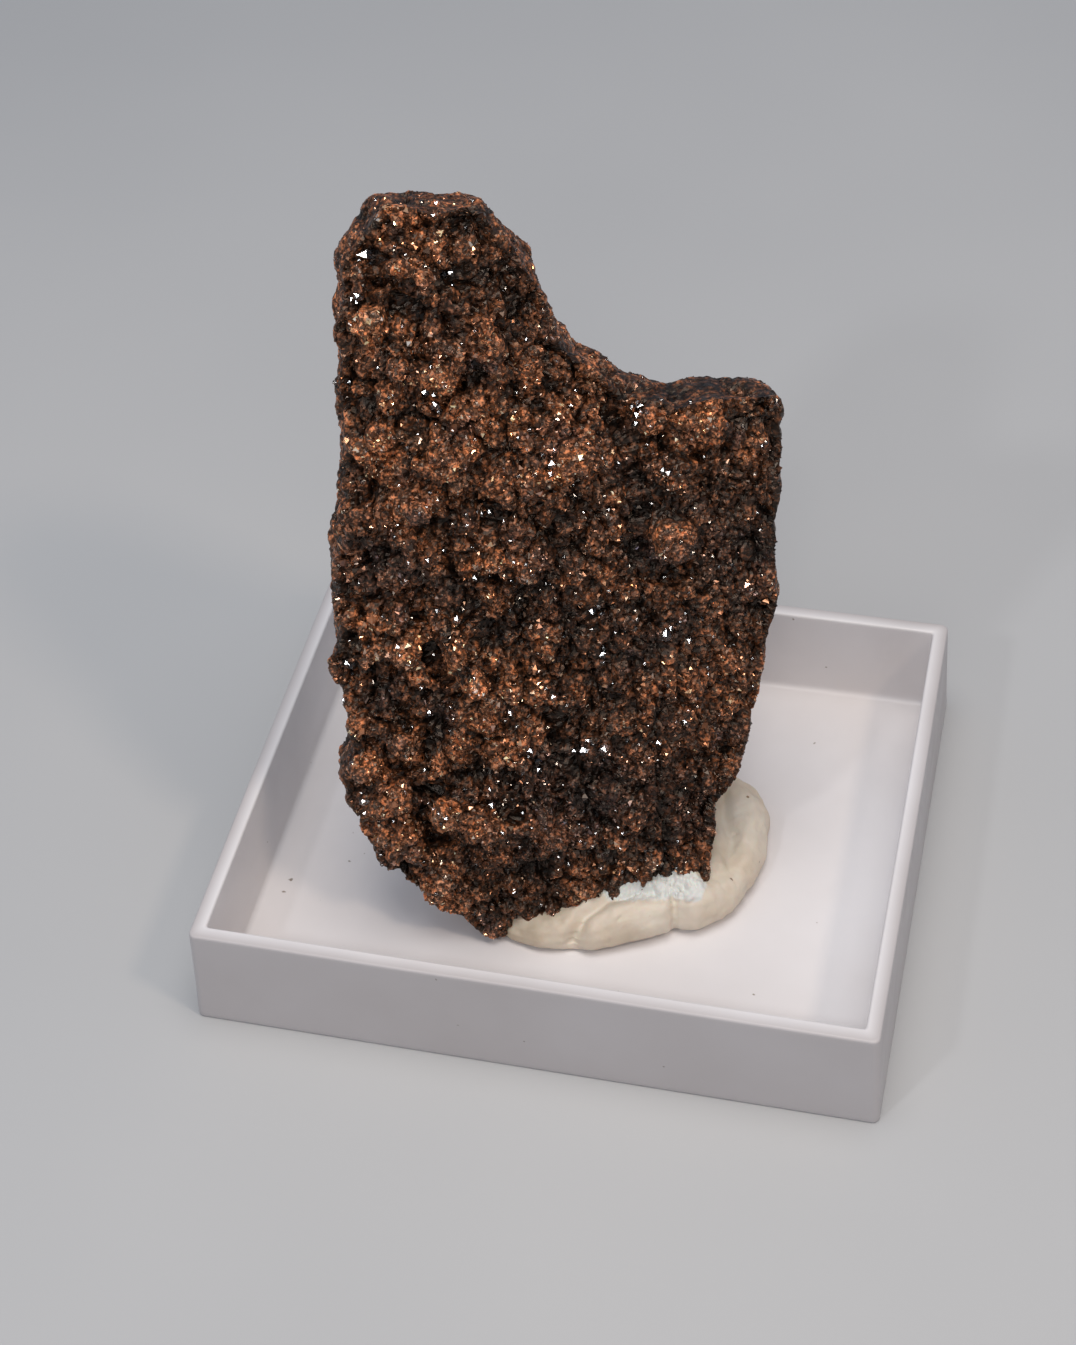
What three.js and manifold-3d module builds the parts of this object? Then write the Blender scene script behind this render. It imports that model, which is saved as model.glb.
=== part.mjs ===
// A slab of petrified wood, its face a crust of dark crystal grains, pressed upright into a pad of
// off-white mounting putty inside a low white moulded tray. Millimetres, +Z up. The origin is the
// middle of the tray's underside, with the tray's long sides along X.
import * as THREE from "three";
import { mergeVertices } from "three/addons/utils/BufferGeometryUtils.js";
import Module from "manifold-3d";

const wasm = await Module();
wasm.setup();

// The tray is measured at its rim. Its outside widens a little towards the foot.
const TRAY = { width: 56, depth: 46, height: 10.2, wall: 1.25, floor: 1.2, flare: 0.45 };
const TRAY_CORNER = 0.6;
const TRAY_EDGE = 0.22;
const TRAY_DRAFT = 0.1;
const TRAY_FILLET = 0.5;
const CORNER_STEPS = 4;
// How far the middle of a rounded edge lies in from each face, as a share of its radius.
const BEND = 0.3;

// Where the slab stands: its own frame has u across the face, v up it and w out of it.
const SLAB_FOOT = new THREE.Vector3(-6.86, -9.38, 0.78);
const SLAB_TURN = THREE.MathUtils.degToRad(20);
const SLAB_LEAN = THREE.MathUtils.degToRad(15);
const GAP = 0.3;

// The side of the slab's facets. Thinner triangles than the given share of it are left out.
const MESH_PITCH = 1.2;
const SLIVER = 0.12;

// Half thickness of the slab at its middle, front and back, and of its broken edge.
const FRONT_BULGE = 5.0;
const BACK_BULGE = 5.2;
const EDGE_FRONT = 2.1;
const EDGE_BACK = 2.3;
const FOOT_EDGE = { front: 3.6, from: 2, to: 9 };
const BULGE_REACH = 9;
const EDGE_ROUNDING = 0.3;
const EDGE_ROWS = 4;
const RIGHT_DISHING = { depth: 0.9, from: 12, to: 24, margin: 4 };

// The forms of the relief: their size along u, v and w, and a seed that makes each repeatable.
const COBBLES = { size: [3.4, 3.9, 3.4], seed: 7 };
const WOOD_GRAIN = { size: [1.7, 16, 1.7], seed: 21 };
const SWELL = { size: [9, 11, 9], seed: 31 };
const BACK_SLOPE = { size: [13, 17, 1], seed: 40, height: 0.9 };

// How much of each form there is on the crystal face, and on the edge and back.
const FACE_RELIEF = { cobbles: 1, grain: 0.6, swell: 0.8, base: -0.5 };
const PLAIN_RELIEF = { cobbles: 1.3, grain: 0.8, swell: 1, base: -0.75 };
const KNOB_SHARE = 1.2;

// The slab's outline at mid thickness, [u, v], anticlockwise seen from the front, from its lowest tip.
const OUTLINE = [
  [1.6, 0.4], [4, 0.8], [8, 1.2], [12, 1.4], [16, 1.5], [18.3, 2.2], [18.9, 4.7], [19.5, 7.5], [19.9, 9.7],
  [20.7, 11.2], [21.7, 13], [22.6, 15.4], [23.5, 18.1], [24.2, 20.9], [24.6, 24], [25, 26.1], [25.5, 29],
  [25.4, 31.4], [25.6, 34.5], [25.9, 37.5], [26.2, 40.8], [26.5, 43.9], [26.5, 45.6], [25.2, 46.3],
  [23, 46.4], [21, 46.6], [19.5, 46.3], [17.4, 46.9], [15.3, 47.6], [13.8, 48.9], [12.6, 50],
  [11.2, 51.1], [10.2, 52.7], [9.7, 54.7], [9, 56.7], [8, 59], [7.4, 60.3], [6.1, 62], [4.6, 63.8],
  [2, 64.5], [0.1, 64.8], [-1.3, 65.2], [-2.3, 64.8], [-3.4, 63.5], [-4.6, 61.6], [-5.3, 59.9], [-5.3, 58.3],
  [-5.8, 55.8], [-6.1, 53.3], [-6.4, 50.4], [-6.4, 47.5], [-7.1, 44.2], [-7.3, 41.6], [-7.9, 40.5],
  [-8.1, 38.9], [-8, 37], [-8.4, 35.4], [-8.8, 32.3], [-9, 30], [-9.4, 27.9], [-9.7, 26.3],
  [-9.4, 24.3], [-9.5, 21.8], [-9.6, 19.6], [-10.3, 18.3], [-10.6, 16.8], [-10.3, 15], [-9.7, 12.7],
  [-9.4, 10.7], [-8.7, 8.9], [-7.8, 7.5], [-5.8, 5.9], [-4.9, 4.8], [-3.3, 3.7], [-2.1, 2.8], [-0.9, 1],
];

// Knobs and crevices are placed as seen from above the front: where the line of sight to one passes
// mid thickness. The one on the face stands higher than that by this share of its distance out.
const SIGHT_RISE = 0.8;

// Knobs on the face, [u, v, radius, height].
const KNOBS = [
  [-1, 62.4, 2, 0.7], [4.4, 61.8, 2.3, 0.6], [-2.8, 60.6, 1.4, 0.7], [1.6, 60.2, 1.8, 0.7],
  [-4.4, 58.6, 1.6, 0.8], [-0.9, 58.2, 1.5, 1.1], [1.4, 57.6, 1.8, 0.7], [-2.7, 56.4, 1.2, 0.6],
  [-4.4, 54.3, 2.2, 1.0], [1, 55, 1.9, 0.7], [5.2, 52, 2.4, 0.9], [1.6, 51, 1.6, 0.8], [-1.3, 51.6, 1.4, 0.7],
  [0.9, 49.2, 1.7, 1.2], [-1.9, 49.8, 1.6, 0.8], [-3.4, 48.4, 1.4, 0.8], [4.2, 48, 1.8, 0.7],
  [-1.2, 46.5, 1.5, 0.6], [2.7, 45.6, 1.4, 0.7], [-4.7, 45.1, 2.1, 0.8], [0.8, 44.2, 1.9, 0.7],
  [-5, 41.4, 1.5, 0.7], [-1.2, 42.3, 1.5, 0.7], [1.1, 41.6, 2.3, 1.0], [-6, 37.5, 2.3, 1.4],
  [-2.1, 38.3, 2.1, 1.4], [-2.9, 36.1, 1.8, 1.1], [1, 36.3, 1.8, 0.8], [5.5, 36.8, 1.8, 0.6],
  [-5, 34.2, 1.9, 0.8], [-8, 34.2, 1.6, 0.9], [-2.3, 33.4, 1.6, 0.9], [3.5, 33.3, 2.0, 0.9],
  [0.9, 31, 1.5, 0.7], [6.4, 32.3, 1.8, 0.6], [-1.2, 31.8, 1.3, 0.6], [-9, 31, 1.4, 0.7],
  [-6.5, 28.5, 1.7, 0.9], [-7.2, 26.3, 2, 1.1], [-3.8, 26, 1.9, 1.1], [-9.1, 26.2, 1.5, 0.9],
  [-0.8, 26.3, 2, 1.5], [0.6, 23.6, 1.9, 1.6], [1.2, 20.9, 1.7, 1.3], [0.6, 18.3, 1.5, 0.9],
  [-7.6, 20, 2.3, 0.7], [-1.6, 20.3, 1.7, 0.7], [-8.4, 16.4, 1.9, 1.1], [-5, 17.9, 2.1, 1.1],
  [-1.6, 16.8, 1.6, 0.8], [-3.3, 14.6, 1.7, 1.1], [-7.8, 14.3, 1.5, 0.8], [5, 13.7, 1.8, 0.7],
  [-7, 12.3, 1.7, 1.0], [-5.1, 12.1, 1.7, 1.0], [-2.6, 10.4, 1.9, 1.5], [-0.6, 11, 1.2, 0.8],
  [0.5, 8, 2.4, 1.1], [-6.4, 8.4, 2.3, 0.6], [5.2, 6.6, 2.8, 0.7], [-4.2, 5.2, 1.4, 0.9], [-2, 3.5, 1.5, 0.9],
  [17.2, 34.2, 1.7, 1.6], [17.5, 32.4, 1.9, 1.9], [17, 43.8, 1.8, 1.2], [10.9, 41.2, 2.7, 1.2],
  [17.4, 38.8, 2.5, 1.1], [20.6, 43.4, 2.6, 0.9], [24.6, 43.4, 2.2, 0.9], [9, 38, 1.7, 0.7],
  [24.5, 36.8, 1.9, 0.7], [11.1, 14.8, 1.4, 0.9], [9.2, 14.7, 1.2, 0.7], [19.3, 15, 1.7, 0.7],
  [8.6, 11, 1.7, 0.7], [14, 15.1, 1.6, 0.6], [18.6, 10.3, 1.6, 0.6], [13.4, 8.2, 1.7, 0.5],
];

// Crevices in the face: half width, depth, and the line they follow. Their lips flare out further.
const CREVICE_FLARE = 0.7;
const CREVICES = [
  { half: 0.9, depth: 2.0, line: [[-2.5, 27.6], [-1.9, 25.2], [-1.2, 23.2]] },
  { half: 0.7, depth: 0.9, line: [[-8.2, 24.8], [-6.4, 24.6], [-4.4, 23.8]] },
  { half: 1.0, depth: 1.3, line: [[14, 45.2], [14.9, 41.6], [15.3, 37], [15, 33.4], [16, 30.6]] },
  { half: 0.8, depth: 1.2, line: [[16.4, 30.8], [18.2, 30.2], [19.8, 31.2]] },
  { half: 0.6, depth: 0.7, line: [[18.4, 41], [20.4, 40], [22, 40.2]] },
  { half: 0.7, depth: 0.7, line: [[7.9, 44.6], [8.4, 41.6], [8.6, 39.8]] },
  { half: 0.7, depth: 0.7, line: [[12.6, 42.2], [13.3, 39.4], [12.6, 35]] },
  { half: 0.6, depth: 0.8, line: [[-0.2, 48.1], [1, 47.7], [2.4, 48.4]] },
  { half: 0.7, depth: 0.7, line: [[2.4, 45], [3.5, 42.8], [3.8, 38], [2.8, 35]] },
  { half: 0.7, depth: 0.7, line: [[-3.4, 37.6], [-2, 36.9], [-0.4, 36.6]] },
  { half: 0.7, depth: 0.8, line: [[-7, 17], [-5.6, 15.6], [-4.4, 15.9]] },
  { half: 0.8, depth: 1.0, line: [[-4.1, 12.8], [-4.1, 10], [-3.7, 7.4]] },
  { half: 0.8, depth: 0.9, line: [[-0.2, 17], [2.4, 18.6], [2.8, 15.6]] },
  { half: 0.8, depth: 0.9, line: [[6.6, 17.6], [7, 14.6], [6.7, 11.2], [7.2, 7]] },
  { half: 0.8, depth: 0.8, line: [[12.3, 18.6], [12.3, 14.6], [13, 11.6]] },
  { half: 0.7, depth: 0.7, line: [[17.9, 14.2], [17.8, 11], [16.4, 5.4]] },
  { half: 0.6, depth: 0.7, line: [[10.6, 9.8], [10.4, 6.2], [9.8, 3]] },
  { half: 0.7, depth: 0.7, line: [[2.2, 12], [2.9, 9.4], [2.6, 5.6]] },
];

// A repeatable number from 0 to 1 for each cell of a grid.
function cellNumber(x, y, z, seed) {
  let h = Math.imul(x, 374761393) ^ Math.imul(y, 668265263);
  h ^= Math.imul(z, 2147483629) ^ Math.imul(seed, 974634777);
  h = Math.imul(h ^ (h >>> 13), 1274126177);
  h = Math.imul(h ^ (h >>> 16), 2246822519);
  return ((h ^ (h >>> 15)) >>> 0) / 4294967296;
}

// Distance from a point to the nearest of the points scattered one to a cell, for rounded cobbles.
function cobbleDistance(x, y, z, seed) {
  const [cx, cy, cz] = [Math.floor(x), Math.floor(y), Math.floor(z)];
  let nearest = 9;
  for (let i = cx - 1; i <= cx + 1; i++)
    for (let j = cy - 1; j <= cy + 1; j++)
      for (let k = cz - 1; k <= cz + 1; k++) {
        const dx = i + cellNumber(i, j, k, seed) - x;
        const dy = j + cellNumber(i, j, k, seed + 1) - y;
        const dz = k + cellNumber(i, j, k, seed + 2) - z;
        nearest = Math.min(nearest, dx * dx + dy * dy + dz * dz);
      }
  return Math.sqrt(nearest);
}

// Smooth noise from 0 to 1.
function softNoise(x, y, z, seed) {
  const [cx, cy, cz] = [Math.floor(x), Math.floor(y), Math.floor(z)];
  const ease = (t) => t * t * (3 - 2 * t);
  const [fx, fy, fz] = [ease(x - cx), ease(y - cy), ease(z - cz)];
  let sum = 0;
  for (let i = 0; i < 2; i++)
    for (let j = 0; j < 2; j++)
      for (let k = 0; k < 2; k++) {
        const share = (i ? fx : 1 - fx) * (j ? fy : 1 - fy) * (k ? fz : 1 - fz);
        sum += share * cellNumber(cx + i, cy + j, cz + k, seed);
      }
  return sum;
}

const smooth = (low, high, x) => THREE.MathUtils.smoothstep(x, low, high);
const formAt = (noise, { size, seed }, u, v, w) => noise(u / size[0], v / size[1], w / size[2], seed);

function nearestOnSegment(px, py, [ax, ay], [bx, by]) {
  const length2 = (bx - ax) ** 2 + (by - ay) ** 2;
  const t = THREE.MathUtils.clamp(((px - ax) * (bx - ax) + (py - ay) * (by - ay)) / length2, 0, 1);
  const [x, y] = [ax + t * (bx - ax), ay + t * (by - ay)];
  return { x, y, distance: Math.hypot(px - x, py - y) };
}

function nearestOnLine(px, py, line) {
  let best = { distance: Infinity };
  for (let i = 0; i + 1 < line.length; i++) {
    const found = nearestOnSegment(px, py, line[i], line[i + 1]);
    if (found.distance < best.distance) best = found;
  }
  return best;
}

// The closed outline as a smooth polygon, and each point's depth inside it.
const outline = new THREE.CatmullRomCurve3(OUTLINE.map(([u, v]) => new THREE.Vector3(u, v, 0)), true)
  .getPoints(OUTLINE.length * 3)
  .map((p) => [p.x, p.y]);

function insideOutline(u, v) {
  let inside = false;
  for (let i = 0, j = outline.length - 1; i < outline.length; j = i++) {
    const [[ui, vi], [uj, vj]] = [outline[i], outline[j]];
    if (vi > v !== vj > v && u < ((uj - ui) * (v - vi)) / (vj - vi) + ui) inside = !inside;
  }
  return inside;
}

function edgeDepth(u, v) {
  const found = nearestOnLine(u, v, outline);
  return { ...found, depth: insideOutline(u, v) ? found.distance : -found.distance };
}

// A sheet of near-equal triangles that fills the outline. Points close to the edge snap onto it.
function sheetOf(pitch) {
  const box = new THREE.Box2().setFromPoints(outline.map(([u, v]) => new THREE.Vector2(u, v)));
  const rowStep = (pitch * Math.sqrt(3)) / 2;
  const columns = Math.ceil((box.max.x - box.min.x) / pitch) + 3;
  const rows = Math.ceil((box.max.y - box.min.y) / rowStep) + 3;
  const lattice = [];
  for (let j = 0; j < rows; j++)
    for (let i = 0; i < columns; i++) {
      const u = box.min.x + (i - 1 + (j % 2) / 2) * pitch;
      const v = box.min.y + (j - 1) * rowStep;
      const found = edgeDepth(u, v);
      const onEdge = found.distance <= pitch / 2;
      lattice.push({
        u: onEdge ? found.x : u,
        v: onEdge ? found.y : v,
        depth: onEdge ? 0 : found.depth,
        out: !onEdge && found.depth < 0,
      });
    }
  const triangles = [];
  const keep = (a, b, c) => {
    const corners = [lattice[a], lattice[b], lattice[c]];
    if (corners.some((p) => p.out)) return;
    const mid = edgeDepth(
      corners.reduce((s, p) => s + p.u / 3, 0),
      corners.reduce((s, p) => s + p.v / 3, 0),
    );
    if (corners.every((p) => p.depth === 0) && mid.depth < pitch * SLIVER) return;
    triangles.push([a, b, c]);
  };
  for (let j = 0; j + 1 < rows; j++)
    for (let i = 0; i + 1 < columns; i++) {
      const a = j * columns + i;
      const [b, c, d] = [a + 1, a + columns, a + columns + 1];
      if (j % 2) {
        keep(a, b, d);
        keep(a, d, c);
      } else {
        keep(a, b, c);
        keep(b, d, c);
      }
    }
  return { lattice, triangles, rim: rimOf(triangles) };
}

// The sheet's border as one loop of vertex numbers, in the direction of its triangles.
function rimOf(triangles) {
  const edges = new Map();
  for (const [a, b, c] of triangles)
    for (const [from, to] of [[a, b], [b, c], [c, a]]) edges.set(from + "," + to, [from, to]);
  const next = new Map();
  for (const [from, to] of edges.values())
    if (!edges.has(to + "," + from)) {
      if (next.has(from)) throw new Error("the sheet touches itself at a corner: change MESH_PITCH");
      next.set(from, to);
    }
  const start = next.keys().next().value;
  const loop = [start];
  while (next.get(loop.at(-1)) !== start) loop.push(next.get(loop.at(-1)));
  if (loop.length !== next.size) throw new Error("the sheet has more than one border: change MESH_PITCH");
  return loop;
}

// How far each face of the slab stands off mid thickness.
function frontLevel(u, v, depth) {
  const foot = smooth(FOOT_EDGE.from, FOOT_EDGE.to, v);
  const edge = THREE.MathUtils.lerp(FOOT_EDGE.front, EDGE_FRONT, foot);
  const { depth: most, from, to, margin } = RIGHT_DISHING;
  const dished = most * smooth(from, to, u) * smooth(0, margin, depth);
  return edge + (FRONT_BULGE - edge) * Math.sqrt(smooth(-1, BULGE_REACH, depth)) - dished;
}

function backLevel(u, v, depth) {
  const slope = BACK_SLOPE.height * (formAt(softNoise, BACK_SLOPE, u, v, 3.5) - 0.5);
  return EDGE_BACK + (BACK_BULGE + slope - EDGE_BACK) * Math.sqrt(smooth(-1, BULGE_REACH, depth));
}

function knobHeight(u, v) {
  let height = 0;
  for (const [ku, kv, radius, rise] of KNOBS) {
    const share = Math.hypot(u - ku, v - kv) / radius;
    if (share < 1) height = Math.max(height, rise * (1 - share ** 2) ** 0.8);
  }
  return height;
}

function creviceDepth(u, v) {
  let depth = 0;
  for (const { half, depth: full, line } of CREVICES) {
    const share = nearestOnLine(u, v, line).distance / (half + CREVICE_FLARE);
    if (share < 1) depth = Math.max(depth, full * (1 - share ** 2) ** 2);
  }
  return depth;
}

// Relief along the surface normal: knobs and crevices on the face, cobbles and wood grain all over.
function relief(u, v, w, facing) {
  const cobble = 0.85 - formAt(cobbleDistance, COBBLES, u, v, w);
  const fibre = formAt(softNoise, WOOD_GRAIN, u, v, w) - 0.5;
  const wave = formAt(softNoise, SWELL, u, v, w) - 0.5;
  const sum = ({ cobbles, grain, swell, base }) => cobbles * cobble + grain * fibre + swell * wave + base;
  const seen = v - SIGHT_RISE * w;
  const marks = KNOB_SHARE * knobHeight(u, seen) - creviceDepth(u, seen);
  const face = smooth(0.1, 0.6, facing);
  return THREE.MathUtils.lerp(sum(PLAIN_RELIEF), sum(FACE_RELIEF) + marks, face);
}

// The slab as a closed surface: the sheet in front, the sheet behind and rows of the broken edge
// between them, raised by the relief plus an even allowance.
function slabGeometry(allowance) {
  const { lattice, triangles, rim } = sheetOf(MESH_PITCH);
  const positions = [];
  const indices = [];
  const place = (u, v, w) => positions.push(u, v, w) / 3 - 1;
  const used = new Set(triangles.flat());
  const front = new Map();
  const back = new Map();
  for (const i of used) {
    const { u, v, depth } = lattice[i];
    front.set(i, place(u, v, frontLevel(u, v, depth)));
    back.set(i, place(u, v, -backLevel(u, v, depth)));
  }
  for (const [a, b, c] of triangles) {
    indices.push(front.get(a), front.get(b), front.get(c));
    indices.push(back.get(a), back.get(c), back.get(b));
  }
  const edgeRows = [rim.map((i) => front.get(i))];
  for (let s = 1; s < EDGE_ROWS; s++)
    edgeRows.push(
      rim.map((i, k) => {
        const [before, after] = [lattice[rim.at(k - 1)], lattice[rim[(k + 1) % rim.length]]];
        const along = new THREE.Vector2(after.u - before.u, after.v - before.v).normalize();
        const { u, v } = lattice[i];
        const bulge = EDGE_ROUNDING * Math.sin((Math.PI * s) / EDGE_ROWS);
        const w = THREE.MathUtils.lerp(frontLevel(u, v, 0), -backLevel(u, v, 0), s / EDGE_ROWS);
        return place(u + along.y * bulge, v - along.x * bulge, w);
      }),
    );
  edgeRows.push(rim.map((i) => back.get(i)));
  for (let s = 0; s < EDGE_ROWS; s++)
    for (let k = 0; k < rim.length; k++) {
      const n = (k + 1) % rim.length;
      const [a0, b0, a1, b1] = [edgeRows[s][k], edgeRows[s][n], edgeRows[s + 1][k], edgeRows[s + 1][n]];
      indices.push(a0, a1, b1, a0, b1, b0);
    }
  const geometry = new THREE.BufferGeometry()
    .setAttribute("position", new THREE.Float32BufferAttribute(positions, 3))
    .setIndex(indices);
  geometry.computeVertexNormals();
  raise(geometry, allowance);
  return geometry;
}

function raise(geometry, allowance) {
  const { position, normal } = geometry.attributes;
  for (let i = 0; i < position.count; i++) {
    const [u, v, w] = [position.getX(i), position.getY(i), position.getZ(i)];
    const rise = relief(u, v, w, normal.getZ(i)) + allowance;
    position.setXYZ(i, u + rise * normal.getX(i), v + rise * normal.getY(i), w + rise * normal.getZ(i));
  }
}

// No part of the slab goes below the given height: what would is flattened onto it.
function restOn(mesh, height) {
  const { position } = mesh.geometry.attributes;
  const point = new THREE.Vector3();
  mesh.updateWorldMatrix(true, false);
  for (let i = 0; i < position.count; i++) {
    point.fromBufferAttribute(position, i).applyMatrix4(mesh.matrixWorld);
    if (point.z >= height) continue;
    point.z = height;
    mesh.worldToLocal(point);
    position.setXYZ(i, point.x, point.y, point.z);
  }
}

// A closed surface through rings of equally many points, from the first ring's cap to the last's.
function loft(rings) {
  const count = rings[0].length;
  const positions = rings.flat(2);
  const indices = [];
  for (let r = 0; r + 1 < rings.length; r++)
    for (let k = 0; k < count; k++) {
      const n = (k + 1) % count;
      const [a, b, c, d] = [r * count + k, r * count + n, (r + 1) * count + k, (r + 1) * count + n];
      indices.push(a, b, d, a, d, c);
    }
  const cap = (ring, start, flip) => {
    const centre = positions.length / 3;
    for (let axis = 0; axis < 3; axis++) positions.push(ring.reduce((s, p) => s + p[axis], 0) / count);
    for (let k = 0; k < count; k++) {
      const [a, b] = [start + k, start + ((k + 1) % count)];
      indices.push(...(flip ? [centre, b, a] : [centre, a, b]));
    }
  };
  cap(rings[0], 0, true);
  cap(rings.at(-1), (rings.length - 1) * count, false);
  return new THREE.BufferGeometry()
    .setAttribute("position", new THREE.Float32BufferAttribute(positions, 3))
    .setIndex(indices);
}

// A rectangle with round corners, inset from the tray's rim size, at one height.
function trayRing(inset, height, corner) {
  const [halfX, halfY] = [TRAY.width / 2 - inset - corner, TRAY.depth / 2 - inset - corner];
  const ring = [];
  for (const [quarter, sx, sy] of [[0, 1, 1], [1, -1, 1], [2, -1, -1], [3, 1, -1]])
    for (let s = 0; s <= CORNER_STEPS; s++) {
      const angle = ((quarter + s / CORNER_STEPS) * Math.PI) / 2;
      ring.push([sx * halfX + corner * Math.cos(angle), sy * halfY + corner * Math.sin(angle), height]);
    }
  return ring;
}

function trayGeometry() {
  const { height, wall, floor, flare } = TRAY;
  const sole = wall + TRAY_DRAFT;
  return loft([
    trayRing(TRAY_EDGE - flare, 0, TRAY_CORNER),
    trayRing(-flare, TRAY_EDGE, TRAY_CORNER),
    trayRing(0, height - TRAY_EDGE, TRAY_CORNER),
    trayRing(TRAY_EDGE * BEND, height - TRAY_EDGE * BEND, TRAY_CORNER),
    trayRing(TRAY_EDGE, height, TRAY_CORNER),
    trayRing(wall - TRAY_EDGE, height, TRAY_CORNER / 2),
    trayRing(wall - TRAY_EDGE * BEND, height - TRAY_EDGE * BEND, TRAY_CORNER / 2),
    trayRing(wall, height - TRAY_EDGE, TRAY_CORNER / 2),
    trayRing(sole, floor + TRAY_FILLET, TRAY_CORNER / 2),
    trayRing(sole + TRAY_FILLET * BEND, floor + TRAY_FILLET * BEND, TRAY_CORNER / 2),
    trayRing(sole + TRAY_FILLET, floor, TRAY_CORNER / 2),
  ]);
}

// The putty: a pressed pad with a rolled edge. For each direction from its middle, how far it reaches
// and how high it stands against the profile, [degrees, reach, share of height].
const PUTTY_CENTRE = [5.2, -1.2];
const PUTTY_REACH = [
  [-180, 8.6, 0.9], [-155, 11, 0.7], [-142, 14, 0.55], [-132, 14.6, 0.55], [-124, 13.5, 0.6],
  [-114, 12.2, 0.7], [-100, 10.6, 0.85], [-85, 9.2, 0.95], [-70, 8.5, 1], [-60, 8.3, 1], [-50, 9.2, 1],
  [-38, 9.3, 1], [-22, 9.2, 0.95], [-3, 9.5, 0.9], [17, 10.4, 0.9], [32, 11.5, 0.9], [46, 11.9, 0.85],
  [59, 11.3, 0.8], [85, 10.4, 0.9], [115, 9.8, 1], [150, 9, 1], [180, 8.6, 0.9],
];
// The profile from the edge inwards, [distance in, height].
const PUTTY_PROFILE = [
  [-0.7, 0], [-0.2, 0.5], [0, 1.2], [-0.15, 2.1], [-0.7, 3], [-1.6, 3.7], [-2.8, 4.2], [-4.4, 4.6],
  [-6.2, 5], [-8, 5.4],
];
const PUTTY_SIDES = 56;
const PUTTY_LUMPS = { size: [3.5, 3.5, 3], seed: 61, height: 0.28 };

function puttyEdge(degrees) {
  const at = PUTTY_REACH.findIndex(([angle]) => angle > degrees);
  const [[a0, r0, h0], [a1, r1, h1]] = [PUTTY_REACH.at(at - 1), PUTTY_REACH.at(at)];
  const t = smooth(a0, a1, degrees);
  return { reach: THREE.MathUtils.lerp(r0, r1, t), height: THREE.MathUtils.lerp(h0, h1, t) };
}

function puttyGeometry() {
  const ring = ([inward, rise]) => {
    const points = [];
    for (let k = 0; k < PUTTY_SIDES; k++) {
      const degrees = -180 + (360 * k) / PUTTY_SIDES;
      const angle = THREE.MathUtils.degToRad(degrees);
      const edge = puttyEdge(degrees);
      const reach = edge.reach + inward;
      const [x, y] = [PUTTY_CENTRE[0] + reach * Math.cos(angle), PUTTY_CENTRE[1] + reach * Math.sin(angle)];
      const lump = 1 + PUTTY_LUMPS.height * (formAt(softNoise, PUTTY_LUMPS, x, y, rise) - 0.5);
      points.push([x, y, TRAY.floor + rise * lump * edge.height]);
    }
    return points;
  };
  return loft(PUTTY_PROFILE.map(ring));
}

function solidOf(mesh) {
  mesh.updateWorldMatrix(true, false);
  const world = new THREE.BufferGeometry()
    .setAttribute("position", mesh.geometry.getAttribute("position").clone())
    .setIndex(mesh.geometry.index)
    .applyMatrix4(mesh.matrixWorld);
  const merged = mergeVertices(world, 1e-4);
  return new wasm.Manifold(
    new wasm.Mesh({
      numProp: 3,
      vertProperties: merged.attributes.position.array,
      triVerts: new Uint32Array(merged.index.array),
    }),
  );
}

function geometryOf(solid) {
  const { vertProperties, triVerts } = solid.getMesh();
  return new THREE.BufferGeometry()
    .setAttribute("position", new THREE.Float32BufferAttribute(vertProperties, 3))
    .setIndex(Array.from(triVerts));
}

function standing(geometry, material) {
  const slab = new THREE.Group();
  slab.position.copy(SLAB_FOOT);
  slab.rotation.set(Math.PI / 2 - SLAB_LEAN, 0, SLAB_TURN, "ZXY");
  const mesh = new THREE.Mesh(geometry, material);
  slab.add(mesh);
  restOn(mesh, TRAY.floor + GAP);
  return { slab, mesh };
}

const whitePlastic = new THREE.MeshStandardMaterial({ color: 0xe4e1e2, roughness: 0.45, metalness: 0 });
const puttyMatter = new THREE.MeshStandardMaterial({ color: 0xd6c9b4, roughness: 0.7, metalness: 0 });
const crystalCrust = new THREE.MeshStandardMaterial({ color: 0x4a2c1c, roughness: 0.35, metalness: 0 });

const tray = new THREE.Mesh(trayGeometry(), whitePlastic);
tray.name = "tray";

const { slab, mesh: wood } = standing(slabGeometry(0), crystalCrust);
wood.name = "petrified_wood";

// The putty holds the slab in a socket of the slab's own shape.
const pad = solidOf(new THREE.Mesh(puttyGeometry()));
const socket = solidOf(standing(slabGeometry(GAP)).mesh);
const pressed = pad.subtract(socket).decompose();
const largest = pressed.reduce((a, b) => (b.volume() > a.volume() ? b : a));
const putty = new THREE.Mesh(geometryOf(largest), puttyMatter);
putty.name = "mounting_putty";

const specimen = new THREE.Group();
specimen.add(tray, putty, slab);

export default specimen;
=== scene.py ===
import math

import bpy
import numpy as np
from mathutils import Matrix, Vector
from mathutils.bvhtree import BVHTree


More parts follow.
